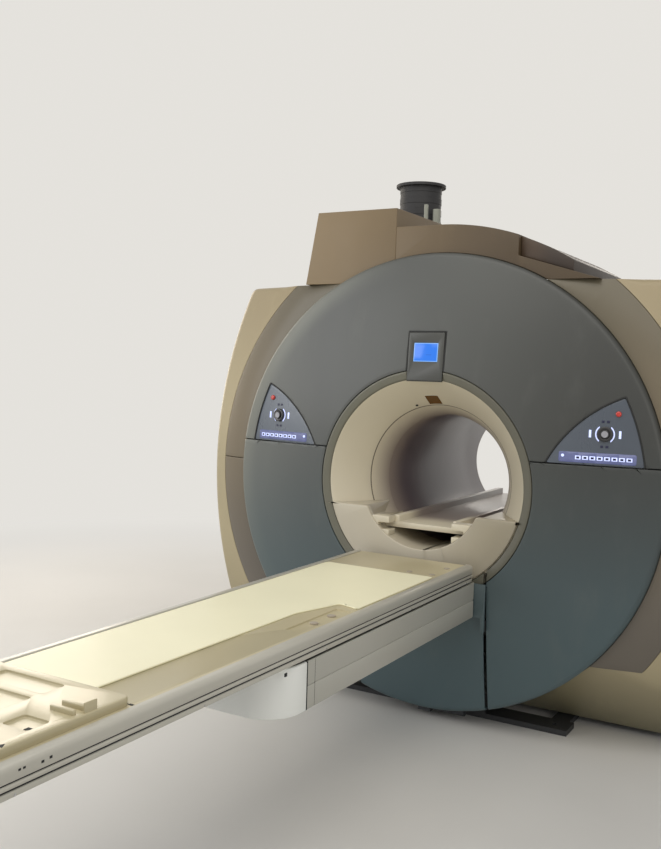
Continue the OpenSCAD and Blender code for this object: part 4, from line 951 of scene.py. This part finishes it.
def makeDisplay():
    (half, low, high), (sx, s0, s1) = face["display"], controls["screen"]
    wedge = lambda h, d: (-6 + 18 * (h - low) / (high - low) + d, h)
    shell = across("displayHousing", [(-6, low), (12, high), (28, high), (28, 508), (8, 504), (8, low)], -half, half)
    window = [wedge(s0 - 1, -20), wedge(s1 + 1, -20), wedge(s1 + 1, 3), wedge(s0 - 1, 3)]
    cut(soften(shell, 4, 4, 30), across("window", window, -sx - 1, sx + 1))
    settle(soften(shell, 0.7, 2, 60), "housing", "display_shell", "display_housing")
    bead = domePatch("displayBead", controls["proud"], rect(-half - 7, half + 7, 400, high + 7))
    settle(cut(bead, through(-half - 1, half + 1, 300, high + 1)), "housing", "seam_black")
    settle(box(-half + 2, half - 2, -5.2, 6, low - 2.2, low + 1, "displaySill"), "housing", "seam_black")
    screen = across("displayScreen", [wedge(s0, 1), wedge(s1, 1), wedge(s1, 3), wedge(s0, 3)], -sx, sx)
    settle(soften(screen, 0.4), "housing", "display_blue", "display_screen")


makePanels()
makeKeys()
makeKnobs()
makeDisplay()
print("controls and display made")


# table
table = {"near": -2560, "far": -60, "half": 280, "top": -308, "railWidth": 30, "railHigh": 70, "boardHalf": 248.5, "board": 34, "mat": 6,
         "beamHalf": 275, "beamNear": -1510, "beamFar": -25, "beamLow": -540, "beamTop": -388, "beamMid": -464, "corner": 120,
         "capFar": -1355, "wall": 8, "stripNear": -1330, "stripFar": -1020, "trayFar": -2090,
         "pits": ((-150, 60, -2440, -2230, 6), (128, 207, -2377, -2311, 6), (-150, 60, -2200, -2125, 6)),
         "railHoles": ((156, 8, 25, 6), (178, 8, 23, 6), (96, 7, 20, 5), (108, 7, 20, 5)), "screws": (90, 700, 1310, 1920, 2440),
         "jaws": ((35, 40), (42.6, 48)), "bracket": (228, 233, -2236, -2196, 18, 46),
         "handle": ((150, 222, -2262, -2250, 18, 34), (150, 222, -2226, -2214, 18, 34)),
         "marks": ((212, 226, -2094, -2085, -1, 0.5), (230, 244, -2094, -2085, -1, 0.5), (184, 202, -2366, -2352, 15, 17.5)),
         "arrow": ((214, -2466), (234, -2466), (224, -2449)), "matCut": ((95, -2078), (105, -1160), (160, -965)),
         "matSide": -990, "matFar": -380, "fill": 0.9}


def makeRails():
    half, t, near, far = (table[k] for k in ("half", "top", "near", "far"))
    inner, low = half - table["railWidth"], t - table["railHigh"]
    outline = [(inner, t - 3), (inner + 3, t), (half - 14, t)] + arc(half - 14, t - 14, 14, 90, 0, 8)[1:]
    outline += [(half, t - 34), (half - 1, t - 36), (half - 4, t - 37), (half - 4, t - 40), (half - 1, t - 41), (half, t - 43),
                (half, t - 49), (half - 1, t - 50.4), (half - 5, t - 51), (half - 5, t - 56), (half - 2.4, t - 57.6), (half - 2, t - 59),
                (half - 2, low), (inner, low)]
    settleBoth(soften(slab("railRight", outline, near, far), 1.0, 2, 60), "table", "rail_white", "table_rails")
    grooveShade = joined("slotLiningRightStrip", box(half - 4.4, half - 3.2, near + 2, far - 2, t - 40, t - 37),   # black strips on the floors of the accessory slot's grooves: painted shade
                    box(half - 5.4, half - 4.2, near + 2, far - 2, t - 56, t - 51))
    settleBoth(grooveShade, "table", "seam_black")
    # black patches on the rail's side stand for holes: painted shade of their depth, no hole is cut
    holes = [box(half - 0.8, half + 0.3, near + d, near + d + long, t - h, t - h + tall) for d, long, h, tall in table["railHoles"]]
    settle(soften(joined("railHoles", *holes), 0.2, 1), "table", "seam_black")
    rows = [(spot(way * (half - 2.2), near + d, t - 66), (way, 0, 0)) for way in (-1, 1) for d in table["screws"]]
    studded("railScrews", rows, "table", "screw_steel", 12, 0.0032, 0.0016, 0.7)


def nearEnd(half, near, r, far):  # the outline of the beam's rounded end
    return [(half, far)] + arc(half - r, near + r, r, 0, -90, 24) + arc(r - half, near + r, r, -90, -180, 24) + [(-half, far)]


def makeBeam():
    half, near, far, low, high, mid, w, cap, corner = (table[k] for k in (
        "beamHalf", "beamNear", "beamFar", "beamLow", "beamTop", "beamMid", "wall", "capFar", "corner"))
    outline = [(half - w, high), (half - 2, high), (half, high - 2), (half, mid + 2.5), (half - 3, mid + 1.5), (half - 3, mid - 1.5),
               (half, mid - 2.5), (half, low + 8), (half - 2.4, low + 2.4), (half - w, low)]
    settleBoth(soften(slab("beamCoverRight", outline, cap + 3, far), 1.0), "table", "beam_grey", "beam_side_covers")
    end = soften(level("beamEnd", nearEnd(half, near, corner, cap), low, high), 6, 4)
    cut(end, level("hollow", nearEnd(half - w, near + w, corner - w, cap + 9), low + w, high + 9),
        box(-half - 9, half + 9, cap, cap + 90, low - 9, high + 9))
    settle(sharpen(end), "table", "cap_white", "beam_end_cap")
    seals = [box(x0, x1, cap - 1, cap + 4, low + 2, high - 1) for x0, x1 in ((-half + 1, -half + w), (half - w, half - 1))]
    seals += [box(x0, x1, cap + 43, cap + 44.6, low + 6, high - 2) for x0, x1 in ((-half - 0.2, -half + 0.6), (half - 0.6, half + 0.2))]
    seals += [soften(box(half - 1, half + 2.5, near + 26, near + 38, high - 14, high - 3), 1)]   # cable clip
    settle(joined("capSeal", *seals), "table", "seam_black")
    settle(soften(fromCad("beam_root_plate", "rootPlate"), 1.6), "table", "cover_slate", "beam_root_plate")
    settle(soften(fromCad("beam_bottom_cover", "beamBottom"), 1.5), "table", "beam_grey", "beam_bottom_cover")


def makeBoard():
    half, near, high, tray, strip = table["boardHalf"], table["near"], table["top"] - 4, table["trayFar"], table["stripNear"]
    low = high - table["board"]
    board = soften(level("board", rounded(rect(-half, half, near + 3, table["far"]), 14), low, high), 3, 3)
    cut(board, box(175, half - 12, strip, table["stripFar"], high - 5, high + 50))
    raised = soften(level("tray", rounded(rect(12 - half, half - 12, near + 12, tray), 22), high - 2, high + 22), 4, 4)
    for x0, x1, d0, d1, deep in table["pits"]:
        cut(raised, soften(level("pit", rounded(rect(x0, x1, d0, d1), 10), high + 22 - deep, high + 50), 2, 3))
    cut(board, raised, operation="UNION")
    onTop = lambda x0, x1, d0, d1, h0, h1: box(x0, x1, d0, d1, high + h0, high + h1)
    bracket = soften(onTop(*table["bracket"]), 2, 3)
    handle = soften(joined("handle", *(onTop(*bar) for bar in table["handle"])), 3, 3)
    jaws = [box(x0, x1, strip - 10, strip + 70, low - 23, low + 1) for x0, x1 in table["jaws"]]
    whole = soften(joined("tabletopBoard", board, bracket, handle, *jaws), 0.8, 2, 60)
    settle(whole, "tabletop", "board_cream", "tabletop")
    settle(soften(fromCad("coil_sockets", "coilSockets"), 0.8), "tabletop", "socket_grey", "coil_sockets")
    marks = [onTop(*mark) for mark in table["marks"]] + [level("arrow", table["arrow"], high + 21, high + 22.5)]
    settle(soften(joined("trayMarks", *marks), 0.2, 1), "tabletop", "seam_black")


def makeMat():
    half, near, far, low, thick = table["boardHalf"], table["trayFar"], table["matFar"], table["top"] - 4, table["mat"]
    outline = [(12 - half, near + 12), *table["matCut"], (half - 6, table["matSide"]), (half - 6, far), (12 - half, far)]
    outline = rounded(outline, 14, 6, 8)
    nx, nd = 40, 120
    wide, size = nx + 1, (nx + 1) * (nd + 1)
    points = [spot(x, d, h) for h in (low, low + thick) for d in steps(near, far + 10, nd) for x in steps(-half, half, nx)]
    faces = [(a, a + 1, a + wide + 1, a + wide) for base in (0, size) for k in range(nd)
             for a in range(base + k * wide, base + k * wide + nx)]
    rim = list(range(wide)) + [(k + 1) * wide - 1 for k in range(1, nd + 1)]
    rim += [nd * wide + i for i in range(nx - 1, -1, -1)] + [k * wide for k in range(nd - 1, 0, -1)]
    faces += [(a, b, size + b, size + a) for a, b in zip(rim, rim[1:] + rim[:1])]
    pad = cut(fromLists("mat", points, faces), level("outline", outline, low - 20, low + 40), operation="INTERSECT")
    soften(pad, 2.4, 4)

    def toEdge(x, d):
        best = 1e9
        for (ax, ay), (bx, by) in zip(outline, outline[1:] + outline[:1]):
            t = max(0, min(1, ((x - ax) * (bx - ax) + (d - ay) * (by - ay)) / max(1e-9, (bx - ax) ** 2 + (by - ay) ** 2)))
            best = min(best, hypot(x - ax - t * (bx - ax), d - ay - t * (by - ay)))
        return best

    middle = axisZ + (low + thick / 2) / 1000
    for v in pad.data.vertices:   # the foam is fuller in the middle, and a little uneven
        if v.co.z > middle:
            x, d = v.co.x * 1000, (v.co.y - ringY) * 1000
            full = min(1.0, toEdge(x, d) / 40)
            wave = 0.25 * sin(x * 0.021 + 1.3) * sin(d * 0.009 + 0.4) + 0.2 * sin(d * 0.023 + x * 0.006)
            v.co.z += (-0.9 + 0.45 * full + wave * full) / 1000
    settle(pad, "tabletop", "mat_cream", "table_mat")


makeRails()
makeBeam()
makeBoard()
makeMat()
print("table made")


# plain CAD nodes and fasteners
def dressNodes():
    for node, name in (("bore_bridge", "boreBridge"), ("bridge_brackets", "bridgeBrackets")):
        settle(soften(fromCad(node, name), 2), "housing", "funnel_white", node)
    for name, node in nodes.items():
        slot = node.data.materials[0].name.split(".")[0]
        node.material_slots[0].material = finishes["stub_grey" if name == "service_stubs" else slot]


def makeFasteners():
    rows = []
    for r, count in ((450, 10), (940, 16)):
        for i in range(count):
            a = 2 * pi * (i + 0.5) / count
            steep = 2 * mouth["rearDome"] * r / (face["edge"] ** 2 - mouth["rear"] ** 2)
            rows.append((roundSpot(r, mouth["body"] - rearFall(r), a), Vector((steep * cos(a), 1, steep * sin(a))).normalized()))
    studded("rearFasteners", rows, "housing", "service_steel", 24, 0.009, 0.003, 0.8)
    rows = [(spot(x, d, pipe["low"] + 17), (0, 0, 1)) for x, d in boltPlaces()]
    studded("pipeBolts", rows, "housing", "screw_steel", 6, 0.0085, 0.007, 0.6)
    a, d = radians(108), 171   # microphone in the roof of the mouth
    rows = [(roundSpot(flare(d) - 0.8, d, a), (-cos(a), -0.5, -sin(a)))]
    studded("microphone", rows, "housing", "seam_black", 20, 0.006, 0.004, 0.6)


dressNodes()
makeFasteners()
print("details made")


# floor and backdrop
stage = {"half": 14, "backdrop": (0.78, 0.76, 0.72), "fade": (2.4, 6.0), "light": (0.9, 0.93, 1.0), "strength": 0.38}


def makeStage():
    data, half = bpy.data.meshes.new("floor"), stage["half"]
    data.from_pydata([(x, y, 0) for x, y in rect(-half, half, -half, half)], [], [(0, 1, 2, 3)])
    s = Finish("floorPale")
    s.set(Base_Color=s.mix(s.cloud(0.8, 4).rise(0.3, 0.7), (0.66, 0.645, 0.61), (0.7, 0.685, 0.65)),
          Roughness=(s.cloud(3) * 0.1 + 0.55).clamp())
    away = (s.along("X") ** 2.0 + (s.along("Y") + 1.0) ** 2.0).math("SQRT").rise(*stage["fade"])
    far = s.node("ShaderNodeEmission", {}, stage["backdrop"], 1.0)
    blend = s.node("ShaderNodeMixShader", {}, away, Flow(s, s.base.outputs[0]), far)
    s.tree.links.new(blend.socket, s.end.inputs[0])
    data.materials.append(s.material)
    linked("floor", data)
    world = bpy.data.worlds.new("pale")
    bpy.context.scene.world = world
    world.use_nodes = True
    graph = Graph(world.node_tree)
    graph.tree.nodes.clear()
    path = graph.node("ShaderNodeLightPath")
    seen = path.output("Is Camera Ray").math("MAXIMUM", path.output("Is Glossy Ray")).math("MAXIMUM", path.output("Is Transmission Ray"))
    light = graph.node("ShaderNodeBackground", {}, stage["light"], stage["strength"])
    backdrop = graph.node("ShaderNodeBackground", {}, stage["backdrop"], 1.0)
    mixed = graph.node("ShaderNodeMixShader", {}, seen, light, backdrop)
    graph.tree.links.new(mixed.socket, graph.tree.nodes.new("ShaderNodeOutputWorld").inputs[0])
    bpy.context.scene.view_settings.view_transform = "Standard"


makeCamera()
makeLamps()
makeStage()
print("scene finished")
